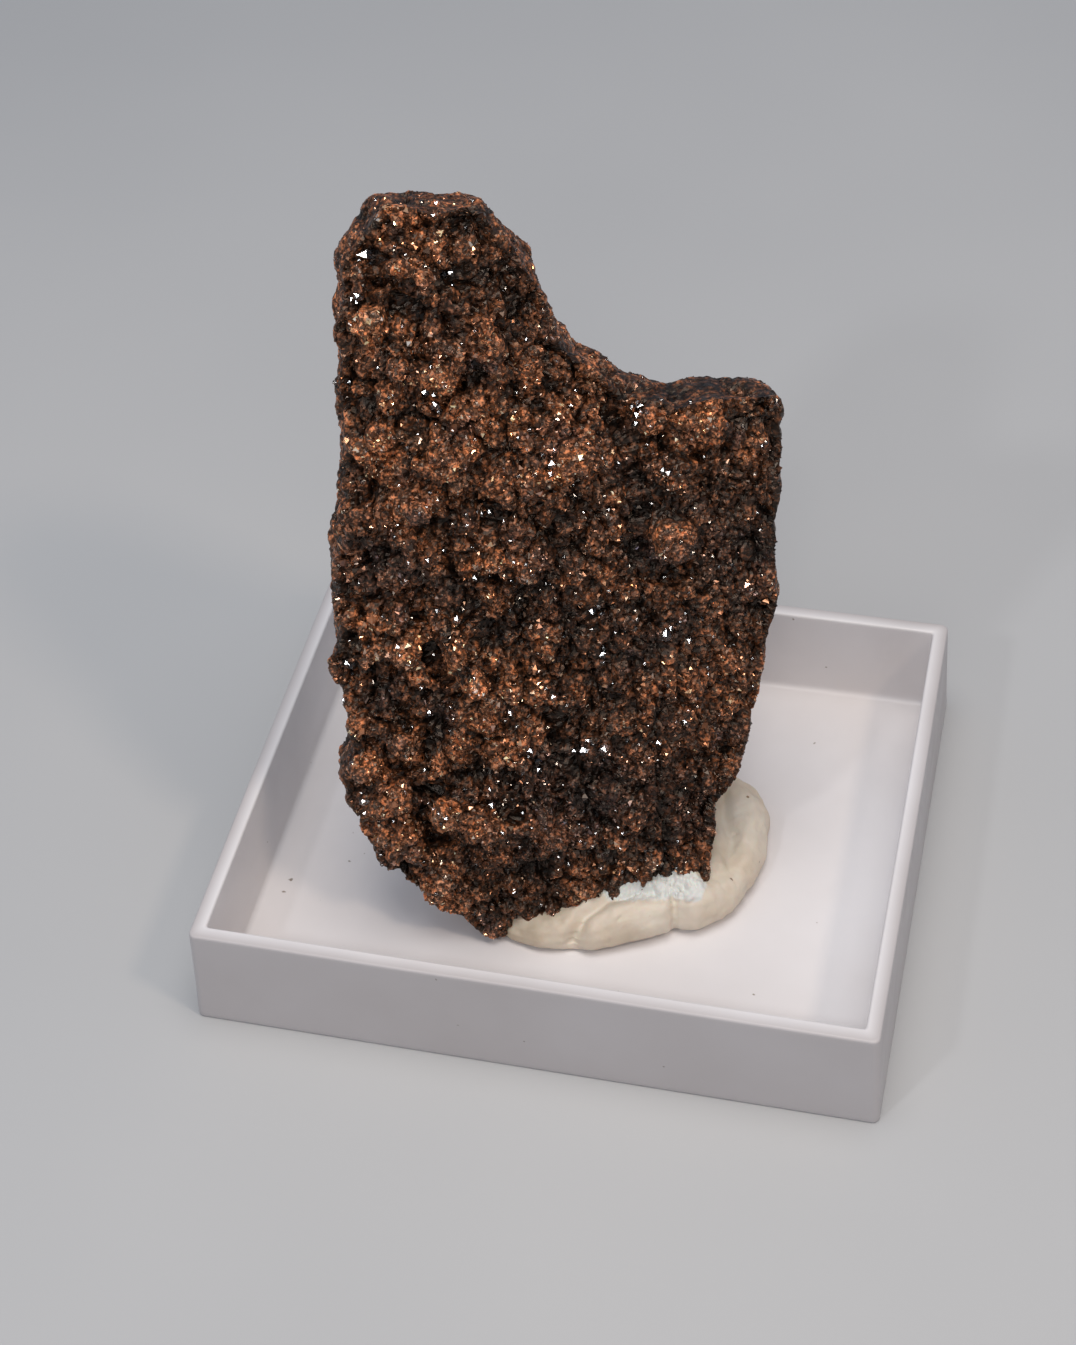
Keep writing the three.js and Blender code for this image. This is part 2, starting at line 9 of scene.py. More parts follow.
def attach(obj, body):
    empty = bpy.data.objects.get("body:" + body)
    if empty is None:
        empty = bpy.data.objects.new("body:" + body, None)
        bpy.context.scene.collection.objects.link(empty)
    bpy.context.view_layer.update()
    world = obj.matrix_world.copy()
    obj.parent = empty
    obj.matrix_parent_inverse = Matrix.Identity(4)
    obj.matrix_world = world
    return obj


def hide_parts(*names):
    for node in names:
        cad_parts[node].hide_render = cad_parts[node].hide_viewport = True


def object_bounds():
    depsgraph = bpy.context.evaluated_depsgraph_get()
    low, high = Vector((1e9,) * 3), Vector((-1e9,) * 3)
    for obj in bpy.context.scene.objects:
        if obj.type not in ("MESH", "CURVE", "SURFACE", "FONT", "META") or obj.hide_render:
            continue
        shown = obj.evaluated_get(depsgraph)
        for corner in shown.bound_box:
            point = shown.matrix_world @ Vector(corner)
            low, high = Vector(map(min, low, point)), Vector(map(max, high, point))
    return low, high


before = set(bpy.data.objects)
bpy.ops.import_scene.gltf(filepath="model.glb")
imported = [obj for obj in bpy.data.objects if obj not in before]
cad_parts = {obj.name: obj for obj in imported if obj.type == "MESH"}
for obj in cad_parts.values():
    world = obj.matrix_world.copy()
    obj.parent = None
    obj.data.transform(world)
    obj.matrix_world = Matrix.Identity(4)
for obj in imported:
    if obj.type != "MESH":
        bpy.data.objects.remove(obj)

MM = 0.001
cad_low, cad_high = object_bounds()

# The slab's own frame: u across its face, v up it, w out of it, in millimetres from its foot.
SLAB_FOOT = np.array([-6.86, -9.38, 0.78])
SLAB_TURN = math.radians(20)
SLAB_LEAN = math.radians(15)

# The tray in millimetres, as its solid was drawn. Its width and depth are those of the rim, and the
# foot stands out by the flare. Inside, the walls thicken downwards by the draft and meet the floor in
# the fillet.
TRAY_WIDTH = 56
TRAY_DEPTH = 46
TRAY_HEIGHT = 10.2
TRAY_WALL = 1.25
TRAY_FLOOR = 1.2
TRAY_FLARE = 0.45
TRAY_CORNER = 0.6
TRAY_EDGE = 0.22
TRAY_DRAFT = 0.1
TRAY_FILLET = 0.5

# Camera, from the tray's corners in the photograph, its place and reach in metres.
CAMERA_PLACE = Vector((36.113, -139.474, 171.426)) * MM
CAMERA_AZIMUTH = math.radians(15.86)
CAMERA_ELEVATION = math.radians(45.89)
CAMERA_ROLL = math.radians(-4.14)
CAMERA_LENS = 68.34
CAMERA_SENSOR = 36
CAMERA_NEAR = 0.005
CAMERA_FAR = 20

# The small bright lights, in millimetres: the clear crystals are turned to glint in them.
GLINT_PLACE = (-120, -230, 270)
SECOND_GLINT_PLACE = (190, -90, 300)
THIRD_GLINT_PLACE = (40, -260, 330)


def slab_axes():
    level = np.array([math.sin(SLAB_TURN), -math.cos(SLAB_TURN), 0])
    across = np.array([math.cos(SLAB_TURN), math.sin(SLAB_TURN), 0])
    up = np.array([0, 0, 1]) * math.cos(SLAB_LEAN) - level * math.sin(SLAB_LEAN)
    out = level * math.cos(SLAB_LEAN) + np.array([0, 0, 1]) * math.sin(SLAB_LEAN)
    return np.array([across, up, out])


AXES = slab_axes()


def to_slab(points_m):
    return (points_m / MM - SLAB_FOOT) @ AXES.T


def from_slab(points_mm):
    return (points_mm @ AXES + SLAB_FOOT) * MM


CAMERA_IN_SLAB = to_slab(np.array(CAMERA_PLACE))


def seen_places(points):
    """Where the line of sight to each point of the face passes the slab's mid thickness, (u, v)."""
    share = CAMERA_IN_SLAB[2] / (CAMERA_IN_SLAB[2] - points[:, 2])
    return CAMERA_IN_SLAB[:2] + (points[:, :2] - CAMERA_IN_SLAB[:2]) * share[:, None]


# Knobs on the face, (u, v, radius, height), their places as seen at the slab's mid thickness.
# The crust's lumps hide part of each, so its height is raised by the gain. The power makes its sides
# steep.
KNOB_GAIN = 1.6
KNOB_POWER = 0.55
KNOBS = [
    (-1, 59.3, 1.1, 0.5), (-2.5, 57.5, 0.9, 0.4), (-4, 55, 1.8, 0.5), (1, 57, 1.6, 0.35),
    (1.5, 61.2, 1.2, 0.35), (1.8, 52, 1.4, 0.4), (1, 50.2, 1.5, 0.5), (-1.8, 50.8, 1.0, 0.3),
    (4.5, 54, 1.5, 0.4), (5, 52, 1.7, 0.4), (3.2, 46.5, 1.2, 0.3), (-4.5, 45.5, 1.8, 0.4),
    (0.5, 43, 1.8, 0.4), (-5.8, 39, 1.9, 0.5), (-2, 39.5, 1.5, 0.5), (-3, 36.8, 1.6, 0.4),
    (-8.3, 39, 0.9, 0.4), (-8, 34.8, 1.1, 0.4), (6, 33, 1.5, 0.3), (3.3, 34, 1.4, 0.35),
    (-6.5, 29.5, 1.3, 0.4), (-7, 26.8, 1.2, 0.4), (-4.3, 26.8, 1.5, 0.5), (17.5, 34, 2.1, 0.8),
    (16.8, 44.5, 1.4, 0.5), (20.5, 43.5, 2.5, 0.4), (18, 39, 2.4, 0.1), (24.5, 41, 1.6, 0.3),
    (10.5, 42, 3.0, 0.4), (25.3, 29, 1.5, 0.3), (-8.5, 16.5, 1.5, 0.4), (-5.3, 17.8, 1.7, 0.4),
    (-6.8, 12.5, 1.9, 0.5), (-2.6, 11, 1.7, 0.6), (0.8, 8.6, 1.7, 0.5), (3.5, 8.2, 1.1, 0.3),
    (5.8, 7.5, 2.2, 0.4), (-6.5, 8.5, 2.2, 0.4), (-4.3, 3.3, 1.5, 0.4), (13.7, 13.5, 1.5, 0.4),
    (11, 11, 1.3, 0.3), (17, 21, 1.8, 0.3), (-0.6, 25.4, 1.4, 0.5), (0.9, 22.2, 1.3, 0.6),
    (1.3, 19.2, 1.2, 0.4),
]

# Crevices in the face: half width, depth, and the line they follow, placed as the knobs are.
# The CAD solid has the wide ones already, so only a share of the depth is cut here, and the painted
# shade in the colour sees a smaller share of that. The spread widens them, the power opens them towards
# the face, and the lines wander by up to half the wander.
CREVICE_SHARE = 0.55
PAINTED_SHADE_SHARE = 0.3
CREVICE_SPREAD = 1.5
CREVICE_POWER = 1.5
CREVICE_WANDER = 0.5
CREVICES = [
    (0.7, 1.5, [(-2.5, 28.2), (-2.2, 26.2), (-1.4, 24.2)]),
    (0.6, 1.1, [(14.3, 45), (14.9, 41.6), (15.3, 37), (14.9, 33)]),
    (0.6, 1.0, [(14.9, 33), (15.8, 30.9), (17.6, 30.2), (19.6, 31)]),
    (0.4, 0.7, [(-5.2, 58.3), (-2.2, 58.4)]),
    (0.4, 0.7, [(-3.6, 62), (-1.2, 61.4)]),
    (0.4, 0.7, [(-5.1, 54), (-2.6, 53.6)]),
    (0.4, 0.8, [(-0.2, 48.9), (2.4, 49.1)]),
    (0.4, 0.7, [(-6.4, 41.2), (-2.8, 41.4)]),
    (0.4, 0.7, [(18.8, 41.2), (22.2, 41.1)]),
    (0.4, 0.7, [(-4.2, 38.1), (-0.9, 37.9)]),
    (0.4, 0.7, [(-7.2, 36.2), (-2.8, 35.5)]),
    (0.4, 0.7, [(3.8, 40.2), (8.2, 39.8)]),
    (0.5, 0.8, [(-8.4, 25), (-6.8, 25.4), (-5.3, 24.7)]),
    (0.4, 0.7, [(-9.2, 13.9), (-6.3, 13.6)]),
    (0.4, 0.8, [(2, 57.6), (2.1, 53.6)]),
    (0.5, 0.8, [(18.1, 46.2), (17.9, 42)]),
    (0.5, 0.8, [(3.6, 39.4), (3.3, 36), (2.2, 33)]),
    (0.5, 0.9, [(-3.9, 13.2), (-3.9, 8.3)]),
    (0.5, 0.7, [(12.2, 18.4), (12.3, 14.5), (12.1, 10.8)]),
    (0.5, 0.7, [(7, 14.4), (6.9, 8.8)]),
    (0.5, 0.7, [(16.1, 14.2), (15.9, 3)]),
    (0.5, 0.7, [(18.1, 14), (17.8, 4)]),
    (0.5, 0.8, [(-7.4, 18.1), (-4.6, 15.8)]),
]

# The clear crystals that glint most on the face, (u, v, radius), placed as the knobs are.
BRIGHT_QUARTZ = [
    (-3.3, 60.6, 0.7), (-4.3, 57.5, 0.4), (2.6, 58.5, 0.4), (-0.3, 49.1, 0.4), (0.5, 48, 0.4),
    (9, 42, 0.48), (15.9, 46, 0.45), (15.7, 45.3, 0.42), (11, 28.6, 0.42), (16.8, 25.5, 0.56),
    (11.5, 24.5, 0.52), (-8.9, 26.6, 0.4), (5, 16.2, 0.4), (9.4, 15.6, 0.62), (11.1, 15.5, 0.46),
    (-9.1, 13.3, 0.4), (-2.5, 10.5, 0.32),
]
# The smaller ones, (u, v).
QUARTZ_PLACES = [
    (2.1, 63.9), (1.8, 63.0), (-5.7, 50.8), (8.7, 41.2), (15.6, 44.6), (17.4, 40.2), (17.8, 39.9),
    (3.7, 38.4), (-3.5, 38.3), (-1.5, 35.0), (13.6, 35.0), (2.0, 32.9), (-1.2, 30.4), (0.2, 29.3),
    (-4.7, 27.5), (18.7, 24.8), (7.4, 21.1), (-2.8, 21.0), (3.7, 20.1), (18.0, 17.0), (9.9, 16.4),
    (15.6, 15.4), (5.6, 14.3), (1.4, 11.4), (3.9, 10.2), (2.4, 2.2),
]


# Repeatable noise

# Large numbers that scatter the cells of a grid over 32 bits, and the shifts that mix the bits.
CELL_FACTORS = np.array([374761393, 668265263, 2147483629])
SEED_FACTOR = 974634777
MIXING = [(13, 1274126177), (16, 2246822519)]
LAST_SHIFT = 15
ALL_BITS = 0xFFFFFFFF


def cell_number(cells, seed):
    """A number from 0 to 1 for each cell of a grid, cells being whole numbers in rows of three."""
    mixed = ((cells.astype(np.int64) * CELL_FACTORS).sum(axis=-1) + seed * SEED_FACTOR) & ALL_BITS
    for shift, factor in MIXING:
        mixed = ((mixed ^ (mixed >> shift)) * factor) & ALL_BITS
    return (mixed ^ (mixed >> LAST_SHIFT)) / (ALL_BITS + 1)


def soft_noise(points, size, seed):
    """Smooth noise from 0 to 1, with one wave about as long as size along each axis."""
    scaled = points / np.asarray(size, float)
    low = np.floor(scaled)
    share = smooth_step(0, 1, scaled - low)
    total = np.zeros(len(scaled))
    for corner in np.ndindex(2, 2, 2):
        step = np.array(corner)
        weight = np.prod(np.where(step == 1, share, 1 - share), axis=1)
        total += weight * cell_number(low + step, seed)
    return total


def layered_noise(points, size, seed, layers=3):
    """Soft noise from 0 to 1 in layers, each half as wide and half as strong as the one before."""
    total = np.zeros(len(points))
    for layer in range(layers):
        finer = 2**layer
        total += soft_noise(points, np.asarray(size, float) / finer, seed + layer) / finer
    return total / (2 - 0.5 ** (layers - 1))


def cells_near(points, size, seed):
    """Distances to the nearest and second nearest scattered points, and a number for the nearest."""
    scaled = points / np.asarray(size, float)
    low = np.floor(scaled)
    first = np.full(len(scaled), np.inf)
    second = np.full(len(scaled), np.inf)
    number = np.zeros(len(scaled))
    for corner in np.ndindex(3, 3, 3):
        cell = low + np.array(corner) - 1
        place = np.stack([cell_number(cell, seed + k) for k in range(3)], axis=1)
        distance = np.linalg.norm(cell + place - scaled, axis=1)
        closer = distance < first
        second = np.where(closer, first, np.minimum(second, distance))
        number = np.where(closer, cell_number(cell, seed + 3), number)
        first = np.where(closer, distance, first)
    return first, second, number


def smooth_step(low, high, x):
    """From 0 at low to 1 at high, easing in and out. The low end may be the larger number."""
    share = np.clip((x - low) / (high - low), 0, 1)
    return share * share * (3 - 2 * share)


def distance_to_line(points, line):
    """Distance in the first two coordinates from each point to a line through the given places."""
    flat = points[:, :2]
    best = np.full(len(points), np.inf)
    for start, end in zip(line, line[1:]):
        along = np.subtract(end, start)
        share = np.clip((flat - start) @ along / (along @ along), 0, 1)
        best = np.minimum(best, np.linalg.norm(flat - start - share[:, None] * along, axis=1))
    return best


# Meshes

def new_object(name, mesh):
    piece = bpy.data.objects.new(name, mesh)
    bpy.context.scene.collection.objects.link(piece)
    return piece


def mesh_of(name, points, faces):
    """A mesh of points in metres and faces that all have the same number of corners."""
    mesh = bpy.data.meshes.new(name)
    count, corners = faces.shape
    mesh.vertices.add(len(points))
    mesh.vertices.foreach_set("co", np.asarray(points, np.float32).ravel())
    mesh.loops.add(count * corners)
    mesh.loops.foreach_set("vertex_index", np.asarray(faces, np.int32).ravel())
    mesh.polygons.add(count)
    mesh.polygons.foreach_set("loop_start", np.arange(0, count * corners, corners, dtype=np.int32))
    mesh.update(calc_edges=True)
    mesh.validate()
    return mesh


def joined_rings(rings, around):
    """Numbers of the points ring by ring, those of their neighbours, and the squares between rings."""
    index = np.arange(rings * around).reshape(rings, around)
    after = np.roll(index, -1, axis=1)
    squares = np.stack([index[:-1], after[:-1], after[1:], index[1:]], axis=-1).reshape(-1, 4)
    return index, after, squares


def points_of(mesh):
    """The mesh's points in metres, one row each."""
    flat = np.zeros(len(mesh.vertices) * 3, np.float32)
    mesh.vertices.foreach_get("co", flat)
    return flat.reshape(-1, 3).astype(float)


def set_points(mesh, points):
    mesh.vertices.foreach_set("co", np.asarray(points, np.float32).ravel())
    mesh.update()


def point_normals(mesh):
    flat = np.zeros(len(mesh.vertices) * 3, np.float32)
    mesh.vertex_normals.foreach_get("vector", flat)
    return flat.reshape(-1, 3).astype(float)


def set_number(mesh, name, values):
    """Keeps a number for each point of the mesh, for the materials to read."""
    layer = mesh.attributes.new(name, "FLOAT", "POINT")
    layer.data.foreach_set("value", np.asarray(values, np.float32))


def fine_copy(node, name, voxel_mm, smoothing):
    """A CAD node's surface as an even mesh of small squares, its facets smoothed away."""
    rough = new_object(name + "_rough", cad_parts[node].data.copy())
    remesh = rough.modifiers.new("even", "REMESH")
    remesh.mode = "VOXEL"
    remesh.voxel_size = voxel_mm * MM
    soften = rough.modifiers.new("soften", "SMOOTH")
    soften.factor = 0.5
    soften.iterations = smoothing
    graph = bpy.context.evaluated_depsgraph_get()
    mesh = bpy.data.meshes.new_from_object(rough.evaluated_get(graph))
    bpy.data.objects.remove(rough)
    mesh.materials.clear()
    return new_object(name, mesh)


# The slab

# The crust's lumps, blocks and bits: size along u, v and w, depth of the gaps, steps and doming,
# and the share of all this that a calm place takes away.
CRUST_LAYERS = [
    {"size": (2.4, 2.8, 2.4), "seed": 201, "gap": 0.4, "step": 0.4, "dome": 0.6, "calmed": 0.8},
    {"size": (1.15, 1.5, 1.15), "seed": 211, "gap": 0.32, "step": 0.26, "dome": 0.24, "calmed": 0.4},
    {"size": (0.56, 0.72, 0.56), "seed": 221, "gap": 0.13, "step": 0.12, "dome": 0.04, "calmed": 0},
]
GAP_WIDTH = 0.22
# Noise that bends the lumps out of line: its size, its reach and its seed.
BEND_SIZE = 2.2
BEND_REACH = 1.1
BEND_SEED = 101
# Wood grain along the slab: size along u, v and w and seed of each set of ridges, their depth, and
# the depth added where the crust is calm.
WOOD_RIDGES = [((0.8, 8, 0.9), 231), ((1.7, 14, 1.7), 232)]
RIDGE_DEPTH = 0.5
CALM_RIDGE_DEPTH = 0.8
# Calm places, with fewer lumps and more wood grain: to the right, low down, and on the right of the
# top. Each has its share of calm, and where that begins and is whole along u or v.
RIGHT_CALM = 0.35
RIGHT_REACH = (9, 16)
FOOT_CALM = 0.2
FOOT_REACH = (10, 2)
TOP_CALM = 0.4
TOP_REACH_U = (2, 5)
TOP_REACH_V = (52, 57)
MOST_CALM = 0.75

# How the relief sits on the CAD surface: the percentage of it that is cut below the surface, how
# squarely a place looks outward where the face or an edge begins and is whole, the shares by which
# edges are calmer, where the right edge's own share begins and is whole, and in millimetres the
# edges' lift, the room below the top in which lifts fade out, and the gap to the tray's floor and
# the top.
CUT_PERCENT = 92
FACE_OUTWARD = (0, 0.5)
EDGE_OUTWARD = (0.75, 0.35)
EDGE_CALM = 0.55
RIGHT_EDGE_CALM = 0.4
RIGHT_EDGE_REACH = (13, 20)
EDGE_LIFT = 0.3
TOP_ROOM = 4
SLAB_GAP = 0.12
SLAB_VOXEL = 0.268
SLAB_SMOOTHING = 5

# The relief's percentiles that the painted light and shade take for the lowest and the highest.
HEIGHT_PERCENTS = (2, 98)
# The crust's tone: its usual value, how patchy the spots are and the patches' size and seed, and the
# share of a spot's radius in which it is whole.
PLAIN_TONE = 0.4
PATCHINESS = 0.9
PATCH_SIZE = 3
PATCH_SEED = 241
SPOT_CORE = 0.35
# Spots that are darker and greyer, partly a darker crust and partly painted shade low on the face, in
# the hollows and along the crevices, and spots that are paler: (u, v, radius, share), placed as the
# knobs are.
DUSK_AND_SHADE_PLACES = [
    (8.5, 11.5, 8, 1.1), (16, 10, 6, 0.7), (23, 32.5, 5, 0.9), (16.5, 26.5, 4, 0.35),
    (-6.5, 23, 3, 0.6), (3.5, 12, 4, 0.5), (14.3, 44, 2, 0.9), (14.8, 40.5, 2.4, 1),
    (15.2, 37, 2.4, 1), (15.2, 33.4, 2.2, 0.9), (18, 38.8, 3, 0.4), (18.2, 33, 2.2, 0.6),
    (8, 33, 4, 0.6), (-4.5, 34, 4, 0.7), (1, 53, 2.4, 0.6), (-3, 51.5, 2, 0.5), (-6, 39, 3.5, 0.5),
    (11, 37, 3, 0.4),
]
PALE_PLACES = [
    (-1, 25.6, 2, 0.8), (0.4, 23.2, 2, 1), (1.1, 20.4, 2, 1), (3.4, 26, 2.6, 0.6), (6, 24, 3, 0.4),
    (20.5, 43.6, 3.4, 0.35), (24.3, 41.5, 2.4, 0.5), (4.4, 46.5, 3, 0.6), (0.8, 50, 1.8, 0.4),
    (-4.6, 54.6, 1.8, 0.4), (2.4, 57.5, 2, 0.4), (-1.2, 46.5, 2, 0.4), (-5, 44.6, 2, 0.4),
    (9.6, 42, 2.5, 0.4),
]


def calm_at(points):
    """How calm the crust is at points in the slab's frame, as a share."""
    right = RIGHT_CALM * smooth_step(*RIGHT_REACH, points[:, 0])
    foot = FOOT_CALM * smooth_step(*FOOT_REACH, points[:, 1])
    top = TOP_CALM * smooth_step(*TOP_REACH_U, points[:, 0]) * smooth_step(*TOP_REACH_V, points[:, 1])
    return np.clip(right + foot + top, 0, MOST_CALM)


def knobs_at(seen):
    """Height of the knobs, in millimetres."""
    heights = np.zeros(len(seen))
    for u, v, radius, height in KNOBS:
        away = np.hypot(seen[:, 0] - u, seen[:, 1] - v) / radius
        dome = np.clip(1 - away**2, 0, 1) ** KNOB_POWER
        heights = np.maximum(heights, KNOB_GAIN * height * dome)
    return heights


def crevices_at(seen):
    """Depth of the crevices, in millimetres."""
    depths = np.zeros(len(seen))
    for half_width, depth, line in CREVICES:
        away = distance_to_line(seen, line) / (CREVICE_SPREAD * half_width)
        groove = np.clip(1 - away**2, 0, 1) ** CREVICE_POWER
        depths = np.maximum(depths, CREVICE_SHARE * depth * groove)
    return depths


def crust_relief(points, normals):
    """Relief of the crust at points in the slab's frame, outward in millimetres: once for the shape,
    and once with shallower crevices for the painted light and shade in the colour."""
    facing = smooth_step(*FACE_OUTWARD, normals[:, 2])
    bends = [layered_noise(points, BEND_SIZE, BEND_SEED + k) - 0.5 for k in range(3)]
    bend = np.stack(bends, axis=1)
    bent = points + BEND_REACH * bend
    calm = calm_at(points)
    relief = np.zeros(len(points))
    for layer in CRUST_LAYERS:
        first, second, number = cells_near(bent, layer["size"], layer["seed"])
        gaps = layer["gap"] * smooth_step(0, GAP_WIDTH, second - first)
        lumps = gaps + layer["step"] * (number - 0.5) - layer["dome"] * first
        relief += (1 - layer["calmed"] * calm) * lumps
    ridges = sum(np.abs(soft_noise(bent, size, seed) - 0.5) for size, seed in WOOD_RIDGES)
    relief -= (RIDGE_DEPTH + CALM_RIDGE_DEPTH * calm) * ridges
    seen = seen_places(points)
    knobs = knobs_at(seen)
    cuts = crevices_at(seen + CREVICE_WANDER * bend[:, :2])
    return relief + facing * (knobs - cuts), relief + facing * (knobs - PAINTED_SHADE_SHARE * cuts)


def spots_at(seen, places):
    """The highest share of any of the round places at each point, fading out to its radius."""
    found = np.zeros(len(seen))
    for u, v, radius, share in places:
        away = np.hypot(seen[:, 0] - u, seen[:, 1] - v) / radius
        found = np.maximum(found, share * smooth_step(1, SPOT_CORE, away))
    return found


def tone_and_shade_at(points):
    """The crust's tone at points in the slab's frame, from 0 where pale to 1 where dusky, the dusky
    side partly painted shade.
    """
    seen = seen_places(points)
    patchy = 1 + PATCHINESS * (layered_noise(points, PATCH_SIZE, PATCH_SEED) - 0.5)
    dusk = (1 - PLAIN_TONE) * spots_at(seen, DUSK_AND_SHADE_PLACES)
    pale = PLAIN_TONE * spots_at(seen, PALE_PLACES)
    return np.clip(PLAIN_TONE + (dusk - pale) * patchy, 0, 1)


def shape_slab():
    """The slab: the CAD surface as a fine mesh with the crust's relief carved into it."""
    slab = fine_copy("petrified_wood", "petrified_wood_slab", SLAB_VOXEL, SLAB_SMOOTHING)
    mesh = slab.data
    surface = points_of(mesh)
    normals = point_normals(mesh) @ AXES.T
    points = to_slab(surface)
    relief, coloured = crust_relief(points, normals)
    edge = smooth_step(*EDGE_OUTWARD, np.abs(normals[:, 2]))
    right_edge = smooth_step(*RIGHT_EDGE_REACH, points[:, 0]) * edge
    lift = (relief - np.percentile(relief, CUT_PERCENT)) * (1 - EDGE_CALM * edge)
    lift = lift * (1 - RIGHT_EDGE_CALM * right_edge) + EDGE_LIFT * edge
    room = (cad_high.z - surface[:, 2]) / MM
    lift = np.where(lift > 0, lift * smooth_step(0, TOP_ROOM, room), lift)
    shaped = from_slab(points + normals * lift[:, None])
    shaped[:, 2] = np.clip(shaped[:, 2], (TRAY_FLOOR + SLAB_GAP) * MM, cad_high.z - SLAB_GAP * MM)
    set_points(mesh, shaped)
    # The relief's height, for painted shade in the gaps and painted light on the high lumps.
    low, high = np.percentile(coloured, HEIGHT_PERCENTS)
    set_number(mesh, "height", np.clip((coloured - low) / (high - low), 0, 1))
    # The crust's tone, darker and greyer in spots that are partly painted shade.
    set_number(mesh, "tone_and_shade", tone_and_shade_at(points))
    return slab


# The crystals, with sizes in millimetres

# Room that every crystal leaves to the tray's floor and to the top of the part.
CRYSTAL_FLOOR_GAP = 0.05
CRYSTAL_TOP_GAP = 0.02

# The grains of the crust, joined into a few meshes: the usual radius, its spread and its limits, how
# much longer or shorter than that a grain is along each of its axes, how deep grains sit as a share
# of the radius, with more of it on the edges, and how thinly they stand behind and in the gaps.
GRAIN_SEED = 11
GRAIN_COUNT = 73500
GRAIN_MESHES = 3
GRAIN_RADIUS = 0.13
GRAIN_SPREAD = 0.42
GRAIN_RADII = (0.07, 0.3)
GRAIN_STRETCH = (0.6, 1.5)
GRAIN_SUNK = 0.5
EDGE_GRAIN_SUNK = 0.4
EDGE_GRAIN_OUTWARD = (0.7, 0.3)
BEHIND_OUTWARD = -0.3
GRAINS_BEHIND = 0.45
GRAINS_IN_GAPS = 0.35

# The clear quartz, in shares of a crystal's radius: half the length of its prism, how uneven that is,
# the reach of its tips, and how far its middle stands out towards the camera.
QUARTZ_SEED = 5
QUARTZ_HALF_LENGTH = 0.55
QUARTZ_UNEVENNESS = 0.12
QUARTZ_TIP = 1.5
QUARTZ_RISE = 0.3
# Its radii, and how far a facet may lean away from the glint: for the bright ones, for the two beside
# each of them, for the placed ones, and for the small ones scattered over the face.
BRIGHT_SHARE = 0.85
BRIGHT_LEAN = 0.004
BESIDE_COUNT = 2
BESIDE_REACH = 0.5
BESIDE_RADII = (0.18, 0.28)
BESIDE_LEAN = 0.03
PLACED_RADII = (0.24, 0.34)
PLACED_LEAN = 0.01
SMALL_COUNT = 420
SMALL_RADII = (0.13, 0.2)
SMALL_LEAN = 0.02
FACE_ACROSS = (-10, 27)
FACE_UP = (0, 66)
FARTHEST_HIT = 12


def triangles_of(mesh):
    mesh.calc_loop_triangles()
    flat = np.zeros(len(mesh.loop_triangles) * 3, np.int32)
    mesh.loop_triangles.foreach_get("vertices", flat)
    return flat.reshape(-1, 3)


def random_turns(rng, count):
    """Random rotations as matrices."""
    turns = rng.normal(size=(count, 4))
    turns /= np.linalg.norm(turns, axis=1)[:, None]
    w, x, y, z = turns.T
    rows = [
        [1 - 2 * (y * y + z * z), 2 * (x * y - z * w), 2 * (x * z + y * w)],
        [2 * (x * y + z * w), 1 - 2 * (x * x + z * z), 2 * (y * z - x * w)],
        [2 * (x * z - y * w), 2 * (y * z + x * w), 1 - 2 * (x * x + y * y)],
    ]
    return np.array(rows).transpose(2, 0, 1)


OCTAHEDRON = np.array([(1, 0, 0), (-1, 0, 0), (0, 1, 0), (0, -1, 0), (0, 0, 1), (0, 0, -1)], float)
OCTAHEDRON_FACES = np.array(
    [(0, 2, 4), (2, 1, 4), (1, 3, 4), (3, 0, 4), (2, 0, 5), (1, 2, 5), (3, 1, 5), (0, 3, 5)]
)


def joined_grains(name, centres, sizes, turns, form, form_faces, numbers):
    """One mesh of many crystals of one form, with some numbers kept for each crystal."""
    shaped = form[None] * sizes[:, None, :]
    points = np.einsum("nij,nkj->nki", turns, shaped) + centres[:, None, :]
    corners = len(form)
    faces = form_faces[None] + (np.arange(len(centres)) * corners)[:, None, None]
    points = points.reshape(-1, 3)
    lowest = (TRAY_FLOOR + CRYSTAL_FLOOR_GAP) * MM
    points[:, 2] = np.clip(points[:, 2], lowest, cad_high.z - CRYSTAL_TOP_GAP * MM)
    mesh = mesh_of(name, points, faces.reshape(-1, form_faces.shape[1]))
    mesh.shade_flat()
    for key, values in numbers.items():
        set_number(mesh, key, np.repeat(values, corners))
    return new_object(name, mesh)


